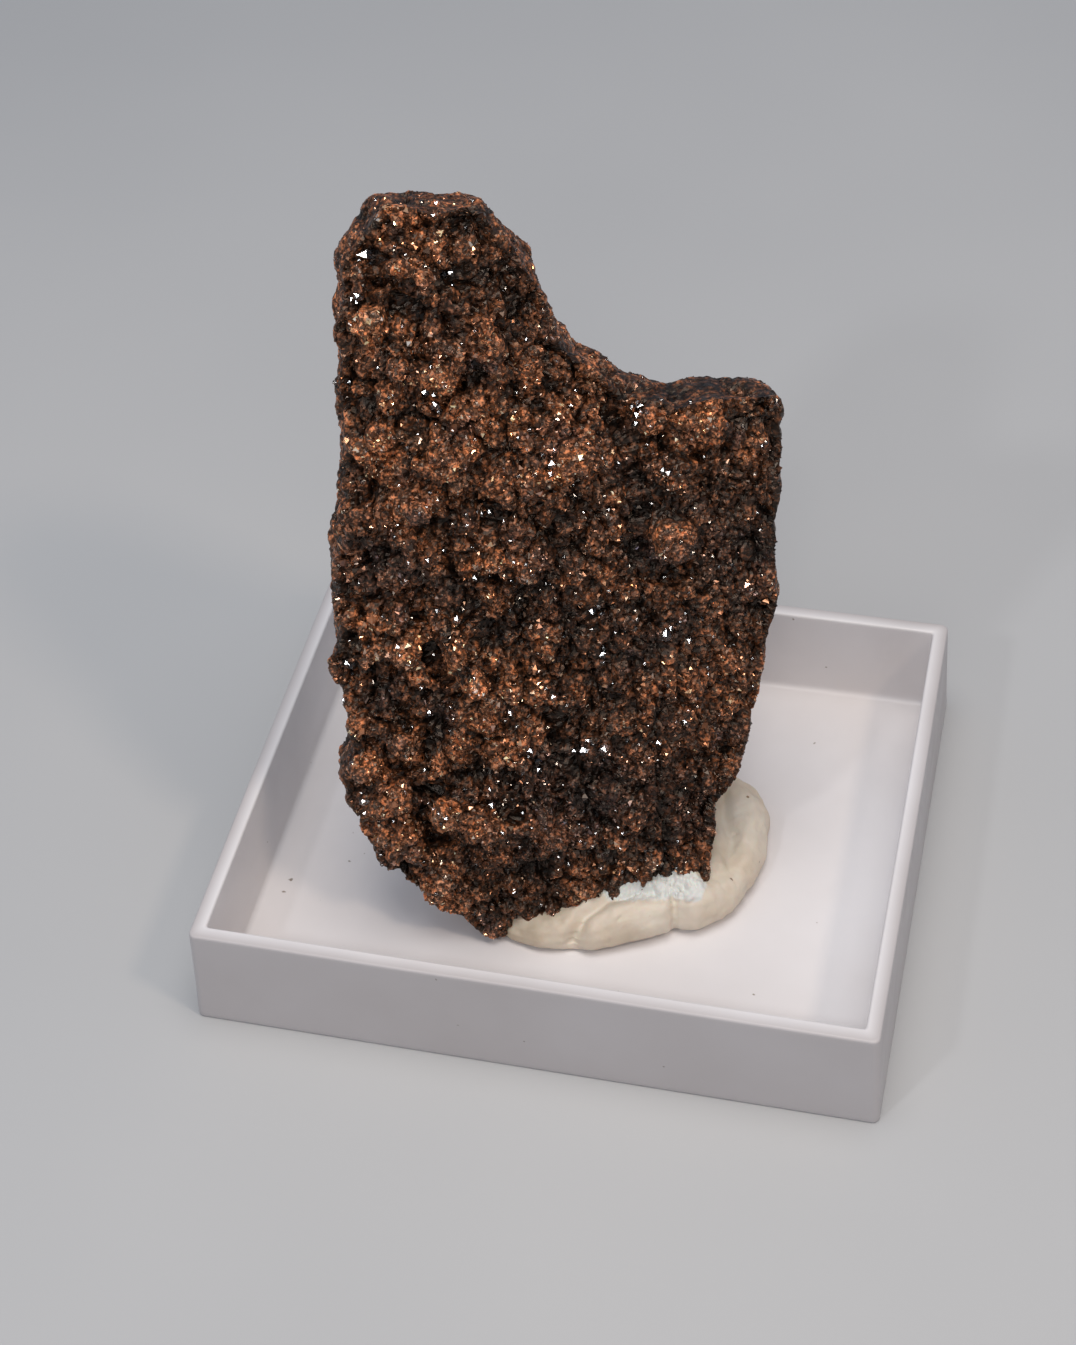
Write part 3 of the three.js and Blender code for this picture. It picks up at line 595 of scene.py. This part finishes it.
def scatter_grains(slab):
    """Small crystals all over the slab, denser on its face than behind."""
    rng = np.random.default_rng(GRAIN_SEED)
    mesh = slab.data
    points = points_of(mesh)
    heights = np.zeros(len(points), np.float32)
    mesh.attributes["height"].data.foreach_get("value", heights)
    triangles = triangles_of(mesh)
    a, b, c = (points[triangles[:, k]] for k in range(3))
    area = np.linalg.norm(np.cross(b - a, c - a), axis=1) / 2
    normal = point_normals(mesh)[triangles].mean(axis=1)
    facing = (normal @ AXES.T)[:, 2]
    around = np.where(facing > BEHIND_OUTWARD, 1, GRAINS_BEHIND)
    weight = area * around * (GRAINS_IN_GAPS + heights[triangles[:, 0]])
    chosen = rng.choice(len(triangles), GRAIN_COUNT, p=weight / weight.sum())
    outward = np.sqrt(rng.random(GRAIN_COUNT))[:, None]
    sideways = rng.random(GRAIN_COUNT)[:, None]
    places = a[chosen] * (1 - outward)
    places += b[chosen] * (outward * (1 - sideways))
    places += c[chosen] * (outward * sideways)
    radius = rng.lognormal(math.log(GRAIN_RADIUS), GRAIN_SPREAD, GRAIN_COUNT)
    radius = np.clip(radius, *GRAIN_RADII) * MM
    edge = smooth_step(*EDGE_GRAIN_OUTWARD, np.abs(facing[chosen]))
    sunk = GRAIN_SUNK + EDGE_GRAIN_SUNK * edge
    places -= normal[chosen] * (sunk * radius)[:, None]
    sizes = radius[:, None] * rng.uniform(*GRAIN_STRETCH, (GRAIN_COUNT, 3))
    turns = random_turns(rng, GRAIN_COUNT)
    # The relief's height and the tone carry the painted light and shade onto each grain.
    numbers = {
        "tint": rng.random(GRAIN_COUNT),
        "height": heights[triangles[chosen, 0]],
        "tone_and_shade": tone_and_shade_at(to_slab(places)),
    }
    grains = []
    for k in range(GRAIN_MESHES):
        part = slice(k, None, GRAIN_MESHES)
        own = {key: values[part] for key, values in numbers.items()}
        grains.append(joined_grains(
            f"crystal_grains_{k + 1}", places[part], sizes[part], turns[part],
            OCTAHEDRON, OCTAHEDRON_FACES, own,
        ))
    return grains


def hexagonal_point(rng):
    """A quartz crystal of radius 1: a short six-sided prism with a six-sided point at each end."""
    angles = np.arange(6) * math.pi / 3
    girdle = np.stack([np.cos(angles), np.sin(angles)], axis=1)
    unevenness = rng.uniform(-QUARTZ_UNEVENNESS, QUARTZ_UNEVENNESS, 6)
    half_length = QUARTZ_HALF_LENGTH * (1 + unevenness)
    low = np.column_stack([girdle, -half_length])
    high = np.column_stack([girdle, half_length])
    return np.vstack([low, high, [(0, 0, -QUARTZ_TIP)], [(0, 0, QUARTZ_TIP)]])


def hexagonal_faces():
    """Triangles of that crystal, in the order of its points: low ring, high ring, two tips."""
    low_tip, high_tip = 12, 13
    faces = []
    for k in range(6):
        after = (k + 1) % 6
        faces += [(k, after, 6 + after), (k, 6 + after, 6 + k)]
        faces += [(after, k, low_tip), (6 + k, 6 + after, high_tip)]
    return np.array(faces)


def turn_between(first, second):
    """The rotation that brings one direction onto another, as a matrix."""
    return np.array(Vector(first).rotation_difference(Vector(second)).to_matrix())


def add_quartz(slab):
    """Clear crystals: big ones at the glinting places and small ones all over the face, one facet of
    each turned so that it catches a small light."""
    rng = np.random.default_rng(QUARTZ_SEED)
    surface = BVHTree.FromPolygons(points_of(slab.data).tolist(), triangles_of(slab.data).tolist())
    form = hexagonal_point(rng)
    facet = np.cross(form[7] - form[6], form[13] - form[6])
    facet /= np.linalg.norm(facet)
    centres, turns, sizes = [], [], []

    def grow(u, v, radius, lamp, lean):
        target = Vector(from_slab(np.array([u, v, 0.0])))
        hit, _, _, _ = surface.ray_cast(CAMERA_PLACE, (target - CAMERA_PLACE).normalized())
        if hit is None or (hit - target).length > FARTHEST_HIT * MM:
            return
        sight = (CAMERA_PLACE - hit).normalized()
        half_way = (sight + (Vector(lamp) * MM - hit).normalized()).normalized()
        facing = (half_way + Vector(rng.normal(0, lean, 3))).normalized()
        spin = np.array(Matrix.Rotation(rng.uniform(0, 2 * math.pi), 3, facing))
        turns.append(spin @ turn_between(facet, facing))
        centres.append(np.array(hit + sight * (QUARTZ_RISE * radius * MM)))
        sizes.append(np.full(3, radius * MM))

    for u, v, radius in BRIGHT_QUARTZ:
        grow(u, v, BRIGHT_SHARE * radius, GLINT_PLACE, BRIGHT_LEAN)
        for _ in range(BESIDE_COUNT):
            near_u = u + rng.normal(0, BESIDE_REACH)
            near_v = v + rng.normal(0, BESIDE_REACH)
            grow(near_u, near_v, rng.uniform(*BESIDE_RADII), GLINT_PLACE, BESIDE_LEAN)
    for u, v in QUARTZ_PLACES:
        grow(u, v, rng.uniform(*PLACED_RADII), GLINT_PLACE, PLACED_LEAN)
    lamps = (GLINT_PLACE, SECOND_GLINT_PLACE, THIRD_GLINT_PLACE)
    for k in range(SMALL_COUNT):
        u = rng.uniform(*FACE_ACROSS)
        v = rng.uniform(*FACE_UP)
        grow(u, v, rng.uniform(*SMALL_RADII), lamps[k % len(lamps)], SMALL_LEAN)
    return joined_grains(
        "clear_quartz", np.array(centres), np.array(sizes), np.array(turns),
        form, hexagonal_faces(), {},
    )


# The putty, in millimetres on the tray's floor

# Its foot seen from its middle, (degrees, reach, share of height), and its side from the foot to the
# top, (outward, height).
PUTTY_CENTRE = (5.2, -1.2)
PUTTY_REACH = [
    (-180, 8.6, 0.9), (-155, 11, 0.7), (-142, 14, 0.55), (-132, 14.6, 0.55), (-124, 13.5, 0.6),
    (-114, 12.2, 0.7), (-100, 10.6, 0.85), (-85, 9.2, 0.95), (-70, 8.5, 1), (-60, 8.3, 1),
    (-50, 9.2, 1), (-38, 9.3, 1), (-22, 9.2, 0.95), (-3, 9.5, 0.9), (17, 10.4, 0.9),
    (32, 11.5, 0.9), (46, 11.9, 0.85), (59, 11.3, 0.8), (85, 10.4, 0.9), (115, 9.8, 1), (150, 9, 1),
    (180, 8.6, 0.9),
]
PUTTY_PROFILE = [
    (-0.7, 0), (-0.2, 0.5), (0, 1.2), (-0.15, 2.1), (-0.7, 3), (-1.6, 3.7), (-2.8, 4.2), (-4.4, 4.6),
    (-6.2, 5), (-8, 5.4),
]
# Folds and rolls pressed into it: half width, height (negative for a groove), and the line they follow.
PUTTY_FOLDS = [
    (0.55, -0.75, [(1.2, -12.2), (2.0, -10.3), (3.6, -8.8), (5.8, -7.9), (7.4, -7.6)]),
    (1.3, 0.45, [(3.0, -11.0), (5.5, -9.6), (8.0, -8.4)]),
    (1.2, 0.3, [(-1.5, -12.2), (0.6, -10.6), (3.0, -8.4)]),
    (0.6, -0.6, [(11.4, -5.2), (13.0, -3.5), (12.8, -0.5), (11.8, 1.4), (11.2, 3.8)]),
    (1.4, 0.5, [(10.6, -7.2), (12.9, -5.4), (14.2, -2.6), (14.2, 0.8), (13.5, 3.9), (12.0, 7.0)]),
    (0.35, -0.35, [(9.2, -8.9), (9.0, -7.6), (9.6, -6.6)]),
    (0.8, -0.35, [(13.2, 5.6), (12.2, 7.4), (11.0, 8.6)]),
]
# Small pits: place and radius.
PUTTY_PITS = [
    (1.9, -10.9, 0.13), (4.8, -10.1, 0.11), (12.9, 0.4, 0.14), (11.3, 5.7, 0.12), (8.0, -6.3, 0.16),
]
PIT_DEPTH = 0.25
# The fresh torn patch along the slab's foot: its line, half width and soft edge, and the reach, size
# and seed of the noise that makes it ragged.
TORN_PATCH = [(4.1, -7.6), (5.6, -7.4), (7.4, -6.7), (9.0, -6.4), (10.2, -6.3)]
TORN_HALF_WIDTH = 1.15
TORN_EDGE = 0.08
RAGGED_REACH = 0.9
RAGGED_SIZE = 0.8
RAGGED_SEED = 321
# The crumbs in it: size and seed, depth and width of the gaps, steps between them, and how deep all
# of them sit.
CRUMB_SIZE = 0.45
CRUMB_SEED = 331
CRUMB_GAP = 0.22
CRUMB_GAP_WIDTH = 0.4
CRUMB_STEP = 0.3
CRUMB_SUNK = 0.05
# The putty's unevenness: height, size and seed of each noise.
PUTTY_NOISES = [(0.5, 3.2, 301), (0.34, 0.9, 311)]
# Heights above the tray's floor where all its relief begins and is whole.
RELIEF_RISE = (0.1, 1.2)
# Points of its mesh around it and up it, and how many of them blur its outline.
PUTTY_AROUND = 420
PUTTY_RINGS = 70
PUTTY_BLUR = 15


def putty_points():
    """The putty's plain shape as rings of points from its foot to its top."""
    degrees = np.linspace(-180, 180, PUTTY_AROUND, endpoint=False)
    angle, reach, share = np.array(PUTTY_REACH, float).T
    reach = np.interp(degrees, angle, reach)
    share = np.interp(degrees, angle, share)
    blur = np.hanning(PUTTY_BLUR) / np.hanning(PUTTY_BLUR).sum()
    reach = np.convolve(np.pad(reach, PUTTY_BLUR // 2, "wrap"), blur, "valid")
    share = np.convolve(np.pad(share, PUTTY_BLUR // 2, "wrap"), blur, "valid")
    outward, rise = np.array(PUTTY_PROFILE, float).T
    along = np.concatenate([[0], np.cumsum(np.hypot(np.diff(outward), np.diff(rise)))])
    steps = np.linspace(0, along[-1], PUTTY_RINGS)
    outward = np.interp(steps, along, outward)
    rise = np.interp(steps, along, rise)
    turn = np.radians(degrees)
    distance = reach[None] + outward[:, None]
    x = PUTTY_CENTRE[0] + distance * np.cos(turn)
    y = PUTTY_CENTRE[1] + distance * np.sin(turn)
    z = TRAY_FLOOR + rise[:, None] * share[None]
    return np.stack([x, y, z], axis=-1).reshape(-1, 3)


def putty_relief(points):
    """The putty's relief in millimetres, and the share of each point that is freshly torn."""
    relief = np.zeros(len(points))
    for height, size, seed in PUTTY_NOISES:
        relief += height * (layered_noise(points, size, seed) - 0.5)
    for half_width, height, line in PUTTY_FOLDS:
        relief += height * np.exp(-((distance_to_line(points, line) / half_width) ** 2))
    for x, y, radius in PUTTY_PITS:
        away = np.hypot(points[:, 0] - x, points[:, 1] - y) / radius
        relief -= PIT_DEPTH * np.exp(-(away**4))
    ragged = RAGGED_REACH * (layered_noise(points, RAGGED_SIZE, RAGGED_SEED) - 0.5)
    away = distance_to_line(points, TORN_PATCH) + ragged
    torn = smooth_step(TORN_HALF_WIDTH + TORN_EDGE, TORN_HALF_WIDTH - TORN_EDGE, away)
    first, second, number = cells_near(points, CRUMB_SIZE, CRUMB_SEED)
    crumbs = CRUMB_GAP * smooth_step(0, CRUMB_GAP_WIDTH, second - first)
    crumbs += CRUMB_STEP * (number - 0.5) - CRUMB_SUNK
    return relief + torn * crumbs, torn


def shape_putty():
    """The putty, closed below and above, with its folds, pits and torn patch."""
    points = putty_points()
    index, after, squares = joined_rings(PUTTY_RINGS, PUTTY_AROUND)
    low, high = len(points), len(points) + 1
    points = np.vstack([points, points[index[0]].mean(axis=0), points[index[-1]].mean(axis=0)])
    caps = np.vstack([
        np.stack([after[0], index[0], np.full(PUTTY_AROUND, low)], axis=1),
        np.stack([index[-1], after[-1], np.full(PUTTY_AROUND, high)], axis=1),
    ])
    mesh = bpy.data.meshes.new("mounting_putty_pressed")
    mesh.from_pydata((points * MM).tolist(), [], squares.tolist() + caps.tolist())
    relief, torn = putty_relief(points)
    lift = relief * smooth_step(*RELIEF_RISE, points[:, 2] - TRAY_FLOOR)
    set_points(mesh, (points + point_normals(mesh) * lift[:, None]) * MM)
    set_number(mesh, "fresh", torn)
    mesh.shade_smooth()
    return new_object("mounting_putty_pressed", mesh)


# The tray

# Steps of its mesh in each round corner, along each straight side, and in each bend of its profile.
CORNER_STEPS = 8
SIDE_STEPS = 40
BEND_STEPS = 4
# Rings of the mesh under the tray and on its floor, as distances from the wall, and up the outside
# and down the inside of the wall, as shares of it.
UNDER_RINGS = (20, 10, 1)
FLOOR_RINGS = (0.3, 4, 9, 14, 19)
OUTSIDE_RINGS = (0.04, 0.3, 0.6, 0.96)
INSIDE_RINGS = (0.04, 0.5, 0.96)
# The slight waviness of its walls: size, layers and seed, reach along x, y and z, and the heights
# where it begins and is whole.
WAVE_SIZE = 24
WAVE_LAYERS = 2
WAVE_SEED = 401
WAVE_REACH = (0.16, 0.16, 0.1)
WAVE_RISE = (0.3, 3)
# Distances in from the rim's outer edge where the inside's colour, without the outside's painted
# shade, begins and is whole.
INSIDE_BEGINS = 0.3
INSIDE_WHOLE = TRAY_WALL - 0.2


def tray_ring(inset, height, corner):
    """A rectangle with round corners at one height, its straight sides in many steps."""
    half_x = TRAY_WIDTH / 2 - inset - corner
    half_y = TRAY_DEPTH / 2 - inset - corner
    centres = [(half_x, half_y), (-half_x, half_y), (-half_x, -half_y), (half_x, -half_y)]

    def on_corner(quarter, share):
        x, y = centres[quarter]
        angle = (quarter + share) * math.pi / 2
        return np.array((x + corner * math.cos(angle), y + corner * math.sin(angle), height))

    ring = []
    for quarter in range(4):
        ring += [on_corner(quarter, step / CORNER_STEPS) for step in range(CORNER_STEPS + 1)]
        start = ring[-1]
        end = on_corner((quarter + 1) % 4, 0)
        ring += [start + (end - start) * step / SIDE_STEPS for step in range(1, SIDE_STEPS)]
    return ring


def profile_bend(inset, height, radius, first, last, corner):
    """A bend of the profile about a place in it, from one angle to another in degrees."""
    angles = np.radians(np.linspace(first, last, BEND_STEPS + 1))
    return [(inset + radius * math.cos(a), height + radius * math.sin(a), corner) for a in angles]


def profile_side(start, end, shares, corner):
    """Places at some shares of a straight side of the profile."""
    run, rise = end[0] - start[0], end[1] - start[1]
    return [(start[0] + run * share, start[1] + rise * share, corner) for share in shares]


def tray_profile():
    """(inset, height, corner) from the middle of the underside, up the outside and down the inside."""
    outer, inner = TRAY_CORNER, TRAY_CORNER / 2
    rim = TRAY_HEIGHT - TRAY_EDGE
    foot_inset = TRAY_WALL + TRAY_DRAFT
    sole_inset = foot_inset + TRAY_FILLET
    sole = TRAY_FLOOR + TRAY_FILLET
    return (
        [(distance - TRAY_FLARE, 0, outer) for distance in UNDER_RINGS]
        + profile_bend(TRAY_EDGE - TRAY_FLARE, TRAY_EDGE, TRAY_EDGE, 270, 180, outer)
        + profile_side((-TRAY_FLARE, TRAY_EDGE), (0, rim), OUTSIDE_RINGS, outer)
        + profile_bend(TRAY_EDGE, rim, TRAY_EDGE, 180, 90, outer)
        + profile_bend(TRAY_WALL - TRAY_EDGE, rim, TRAY_EDGE, 90, 0, inner)
        + profile_side((TRAY_WALL, rim), (foot_inset, sole), INSIDE_RINGS, inner)
        + profile_bend(sole_inset, sole, TRAY_FILLET, 180, 270, inner)
        + [(sole_inset + distance, TRAY_FLOOR, inner) for distance in FLOOR_RINGS]
    )


def shape_tray():
    """The tray as rings from the middle of its underside to the middle of its floor."""
    rings = [tray_ring(*row) for row in tray_profile()]
    points = np.array(rings).reshape(-1, 3)
    waves = [layered_noise(points, WAVE_SIZE, WAVE_SEED + k, WAVE_LAYERS) - 0.5 for k in range(3)]
    points += np.stack(waves, axis=1) * WAVE_REACH * smooth_step(*WAVE_RISE, points[:, 2])[:, None]
    index, _, squares = joined_rings(len(rings), len(rings[0]))
    faces = squares.tolist() + [index[0][::-1].tolist(), index[-1].tolist()]
    mesh = bpy.data.meshes.new("specimen_tray")
    mesh.from_pydata((points * MM).tolist(), [], faces)
    inset = np.minimum(TRAY_WIDTH / 2 - np.abs(points[:, 0]), TRAY_DEPTH / 2 - np.abs(points[:, 1]))
    # How far inside each point is, for the painted shade on the outside.
    set_number(mesh, "inner", smooth_step(INSIDE_BEGINS, INSIDE_WHOLE, inset))
    mesh.shade_smooth()
    return new_object("specimen_tray", mesh)


# Materials

# The crust's highlights are warm.
WARM_GLOSS = (1, 0.82, 0.68, 1)
WHITE = (1, 1, 1)


def grey(value):
    return (value, value, value)


def new_material(name):
    material = bpy.data.materials.new(name)
    material.use_nodes = True
    tree = material.node_tree
    return material, tree, tree.nodes["Principled BSDF"]


def noise(tree, scale, detail=4, rough=0.5):
    """Noise that stays on the piece, with the given number of waves in a metre."""
    node = tree.nodes.new("ShaderNodeTexNoise")
    node.inputs["Scale"].default_value = scale
    node.inputs["Detail"].default_value = detail
    node.inputs["Roughness"].default_value = rough
    place = tree.nodes.new("ShaderNodeTexCoord").outputs["Object"]
    tree.links.new(place, node.inputs["Vector"])
    return node.outputs["Fac"]


def ramp(tree, value, *stops):
    """Colours between stops, each a position and a colour."""
    node = tree.nodes.new("ShaderNodeValToRGB")
    elements = node.color_ramp.elements
    elements[0].position, elements[0].color = stops[0][0], (*stops[0][1], 1)
    elements[1].position, elements[1].color = stops[-1][0], (*stops[-1][1], 1)
    for position, colour in stops[1:-1]:
        elements.new(position).color = (*colour, 1)
    tree.links.new(value, node.inputs["Fac"])
    return node.outputs["Color"]


def blend_colours(tree, share, first, second, mode="MIX"):
    node = tree.nodes.new("ShaderNodeMix")
    node.data_type = "RGBA"
    node.blend_type = mode
    inputs = [socket for socket in node.inputs if socket.enabled]
    for socket, value in zip(inputs, (share, first, second)):
        if hasattr(value, "links"):
            tree.links.new(value, socket)
        elif isinstance(value, tuple):
            socket.default_value = (*value, 1)
        else:
            socket.default_value = value
    return next(socket for socket in node.outputs if socket.enabled)


def times(tree, first, second):
    """One colour multiplied by another."""
    return blend_colours(tree, 1.0, first, second, "MULTIPLY")


def number_of(tree, name):
    node = tree.nodes.new("ShaderNodeAttribute")
    node.attribute_name = name
    return node.outputs["Fac"]


def bump(tree, shader, height, strength, distance_mm):
    node = tree.nodes.new("ShaderNodeBump")
    node.inputs["Strength"].default_value = strength
    node.inputs["Distance"].default_value = distance_mm * MM
    tree.links.new(height, node.inputs["Height"])
    tree.links.new(node.outputs["Normal"], shader.inputs["Normal"])


def crust_patches(tree):
    """Colour of the crust from patch to patch: violet black, brown, rust and a greyish tan."""
    return ramp(
        tree, noise(tree, scale=260, detail=6, rough=0.7),
        (0.28, (0.052, 0.031, 0.027)), (0.41, (0.09, 0.043, 0.026)), (0.48, (0.135, 0.06, 0.03)),
        (0.55, (0.18, 0.07, 0.03)), (0.63, (0.175, 0.096, 0.058)), (0.75, (0.105, 0.064, 0.047)),
    )


def painted_light_and_shade(tree):
    """Painted shade, darker in the gaps, and brighter on the high lumps and knobs, partly painted
    light;
    and darker and greyer where the crust's tone is dusky, partly painted shade.
    """
    depth = ramp(
        tree, number_of(tree, "height"),
        (0.12, grey(0.06)), (0.42, grey(0.5)), (0.85, grey(1.9)),
    )
    tone_and_shade = ramp(
        tree, number_of(tree, "tone_and_shade"),
        (0.0, (1.95, 1.84, 1.7)), (PLAIN_TONE, (0.98, 0.93, 0.9)), (1.0, (0.3, 0.34, 0.45)),
    )
    return times(tree, depth, tone_and_shade)


def slab_material():
    """The stone between the grains: patchy brown with fine dark and light flecks."""
    material, tree, shader = new_material("petrified_wood_crust")
    fine = noise(tree, scale=2600, detail=3, rough=0.6)
    flecks = ramp(tree, fine, (0.36, grey(0.06)), (0.5, (0.42, 0.39, 0.37)), (0.64, (3.0, 2.6, 2.3)))
    speckled = times(tree, crust_patches(tree), flecks)
    # The colour takes the painted light and shade of the relief and the tone.
    tree.links.new(times(tree, speckled, painted_light_and_shade(tree)), shader.inputs["Base Color"])
    rough = ramp(tree, noise(tree, scale=900, detail=2), (0.3, grey(0.2)), (0.7, grey(0.5)))
    tree.links.new(rough, shader.inputs["Roughness"])
    shader.inputs["Specular Tint"].default_value = WARM_GLOSS
    bump(tree, shader, noise(tree, scale=3000, detail=4, rough=0.65), strength=0.6, distance_mm=0.12)
    return material


def grain_material():
    """Glossy grains: many dark, some brown, the brightest a coppery tan with a metallic lustre."""
    material, tree, shader = new_material("crystal_grains")
    tint = number_of(tree, "tint")
    own = ramp(
        tree, tint,
        (0.0, grey(0.1)), (0.4, grey(0.3)), (0.62, (0.88, 0.86, 0.86)), (0.8, (2.3, 2.35, 2.5)),
        (0.9, (4.9, 5.7, 6.6)), (1.0, (7.2, 10.4, 14)),
    )
    coloured = times(tree, crust_patches(tree), own)
    # The colour takes the painted light and shade of the relief and the tone.
    tree.links.new(times(tree, coloured, painted_light_and_shade(tree)), shader.inputs["Base Color"])
    lustre = ramp(tree, tint, (0.5, grey(0)), (0.85, grey(0.85)))
    tree.links.new(lustre, shader.inputs["Metallic"])
    rough = ramp(tree, tint, (0.0, grey(0.34)), (0.3, grey(0.14)), (1.0, grey(0.22)))
    tree.links.new(rough, shader.inputs["Roughness"])
    shader.inputs["IOR"].default_value = 1.52
    shader.inputs["Specular Tint"].default_value = WARM_GLOSS
    return material


def quartz_material():
    material, _, shader = new_material("clear_quartz")
    shader.inputs["Base Color"].default_value = (0.95, 0.95, 1, 1)
    shader.inputs["Roughness"].default_value = 0.12
    shader.inputs["Transmission Weight"].default_value = 1
    shader.inputs["IOR"].default_value = 1.55
    return material


def tray_material():
    """White plastic, slightly cloudy, with painted shade making it warmer and darker outside than
    inside, and a few dark specks.
    """
    material, tree, shader = new_material("white_tray_plastic")
    cloudy = noise(tree, scale=60)
    colour = ramp(tree, cloudy, (0.3, (0.72, 0.7, 0.7)), (0.7, (0.8, 0.79, 0.8)))
    # Painted shade: the outside and the rim's outer edge darker and warmer than the inside.
    shade = ramp(tree, number_of(tree, "inner"), (0.0, (0.7, 0.66, 0.645)), (1.0, (1, 0.975, 0.965)))
    shaded = times(tree, colour, shade)
    speckle = noise(tree, scale=1300, detail=1, rough=0.4)
    specks = ramp(tree, speckle, (0.15, (0.4, 0.35, 0.3)), (0.19, WHITE))
    tree.links.new(times(tree, shaded, specks), shader.inputs["Base Color"])
    rough = ramp(tree, noise(tree, scale=300, detail=5), (0.3, grey(0.32)), (0.7, grey(0.5)))
    tree.links.new(rough, shader.inputs["Roughness"])
    bump(tree, shader, noise(tree, scale=700), strength=0.12, distance_mm=0.1)
    return material


def putty_material():
    """Off-white putty, whiter where it is freshly torn, with a few brown specks."""
    material, tree, shader = new_material("off_white_putty")
    colour = ramp(
        tree, noise(tree, scale=140, detail=5, rough=0.55),
        (0.3, (0.48, 0.39, 0.28)), (0.5, (0.65, 0.55, 0.43)), (0.7, (0.75, 0.67, 0.56)),
    )
    fresh = blend_colours(tree, number_of(tree, "fresh"), colour, (0.7, 0.7, 0.66))
    speckle = noise(tree, scale=1300, detail=1, rough=0.3)
    specks = ramp(tree, speckle, (0.19, (0.35, 0.26, 0.18)), (0.23, WHITE))
    tree.links.new(times(tree, fresh, specks), shader.inputs["Base Color"])
    shader.inputs["Roughness"].default_value = 0.5
    shader.inputs["Subsurface Weight"].default_value = 0.15
    shader.inputs["Subsurface Scale"].default_value = 1.2 * MM
    bump(tree, shader, noise(tree, scale=1100, detail=5, rough=0.65), strength=0.5, distance_mm=0.12)
    return material


def floor_material():
    material, tree, shader = new_material("pale_floor")
    colour = ramp(tree, noise(tree, scale=12, detail=3), (0.3, grey(0.47)), (0.7, (0.51, 0.507, 0.503)))
    tree.links.new(colour, shader.inputs["Base Color"])
    shader.inputs["Roughness"].default_value = 0.75
    return material


# The studio

# The lights, which all face one place: name, place and size in millimetres, watts and colour.
LIGHTS = [
    ("key", (20, -20, 420), (240, 240), 0.89, (1, 0.96, 0.92)),
    ("front", (60, -330, 260), (160, 120), 0.1, (1, 0.96, 0.92)),
    ("glint", GLINT_PLACE, (24, 24), 0.14, (0.95, 0.97, 1)),
    ("second_glint", SECOND_GLINT_PLACE, (40, 40), 0.2, (1, 0.82, 0.65)),
    ("third_glint", THIRD_GLINT_PLACE, (34, 34), 0.11, (1, 0.97, 0.94)),
]
LIT_PLACE = (0, 0, 25)
ROOM_COLOUR = (0.68, 0.8, 1, 1)
ROOM_STRENGTH = 0.34
# How far the floor reaches to each side, in metres.
FLOOR_REACH = 2


def add_camera():
    level = math.cos(CAMERA_ELEVATION)
    back = Vector((
        math.sin(CAMERA_AZIMUTH) * level,
        -math.cos(CAMERA_AZIMUTH) * level,
        math.sin(CAMERA_ELEVATION),
    ))
    right = Vector((0, 0, 1)).cross(back).normalized()
    up = back.cross(right)
    turned_right = right * math.cos(CAMERA_ROLL) + up * math.sin(CAMERA_ROLL)
    turned_up = up * math.cos(CAMERA_ROLL) - right * math.sin(CAMERA_ROLL)
    camera = new_object("camera", bpy.data.cameras.new("camera"))
    camera.data.lens = CAMERA_LENS
    camera.data.sensor_width = CAMERA_SENSOR
    camera.data.clip_start = CAMERA_NEAR
    camera.data.clip_end = CAMERA_FAR
    camera.matrix_world = Matrix((turned_right, turned_up, back)).transposed().to_4x4()
    camera.matrix_world.translation = CAMERA_PLACE
    bpy.context.scene.camera = camera


def add_light(name, place_mm, size_mm, watts, colour):
    lamp = bpy.data.lights.new(name, "AREA")
    lamp.shape = "RECTANGLE"
    lamp.size, lamp.size_y = (side * MM for side in size_mm)
    lamp.energy = watts
    lamp.color = colour
    light = new_object(name, lamp)
    light.location = Vector(place_mm) * MM
    light.rotation_euler = (Vector(LIT_PLACE) - Vector(place_mm)).to_track_quat("-Z", "Y").to_euler()


def add_studio():
    corners = np.array([(-1, -1, 0), (1, -1, 0), (1, 1, 0), (-1, 1, 0)]) * FLOOR_REACH
    floor = new_object("floor", mesh_of("floor", corners, np.array([(0, 1, 2, 3)])))
    floor.data.materials.append(floor_material())
    world = bpy.data.worlds.new("soft_room")
    world.use_nodes = True
    background = world.node_tree.nodes["Background"]
    background.inputs["Color"].default_value = ROOM_COLOUR
    background.inputs["Strength"].default_value = ROOM_STRENGTH
    bpy.context.scene.world = world
    for light in LIGHTS:
        add_light(*light)
    bpy.context.scene.view_settings.view_transform = "Standard"


def give(piece, material):
    piece.data.materials.append(material)
    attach(piece, "root")


add_camera()
add_studio()

slab = shape_slab()
give(slab, slab_material())
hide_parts("petrified_wood")
grains_look = grain_material()
for grains in scatter_grains(slab):
    give(grains, grains_look)

give(add_quartz(slab), quartz_material())

tray = shape_tray()
give(tray, tray_material())
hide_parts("tray")

putty = shape_putty()
give(putty, putty_material())
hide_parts("mounting_putty")
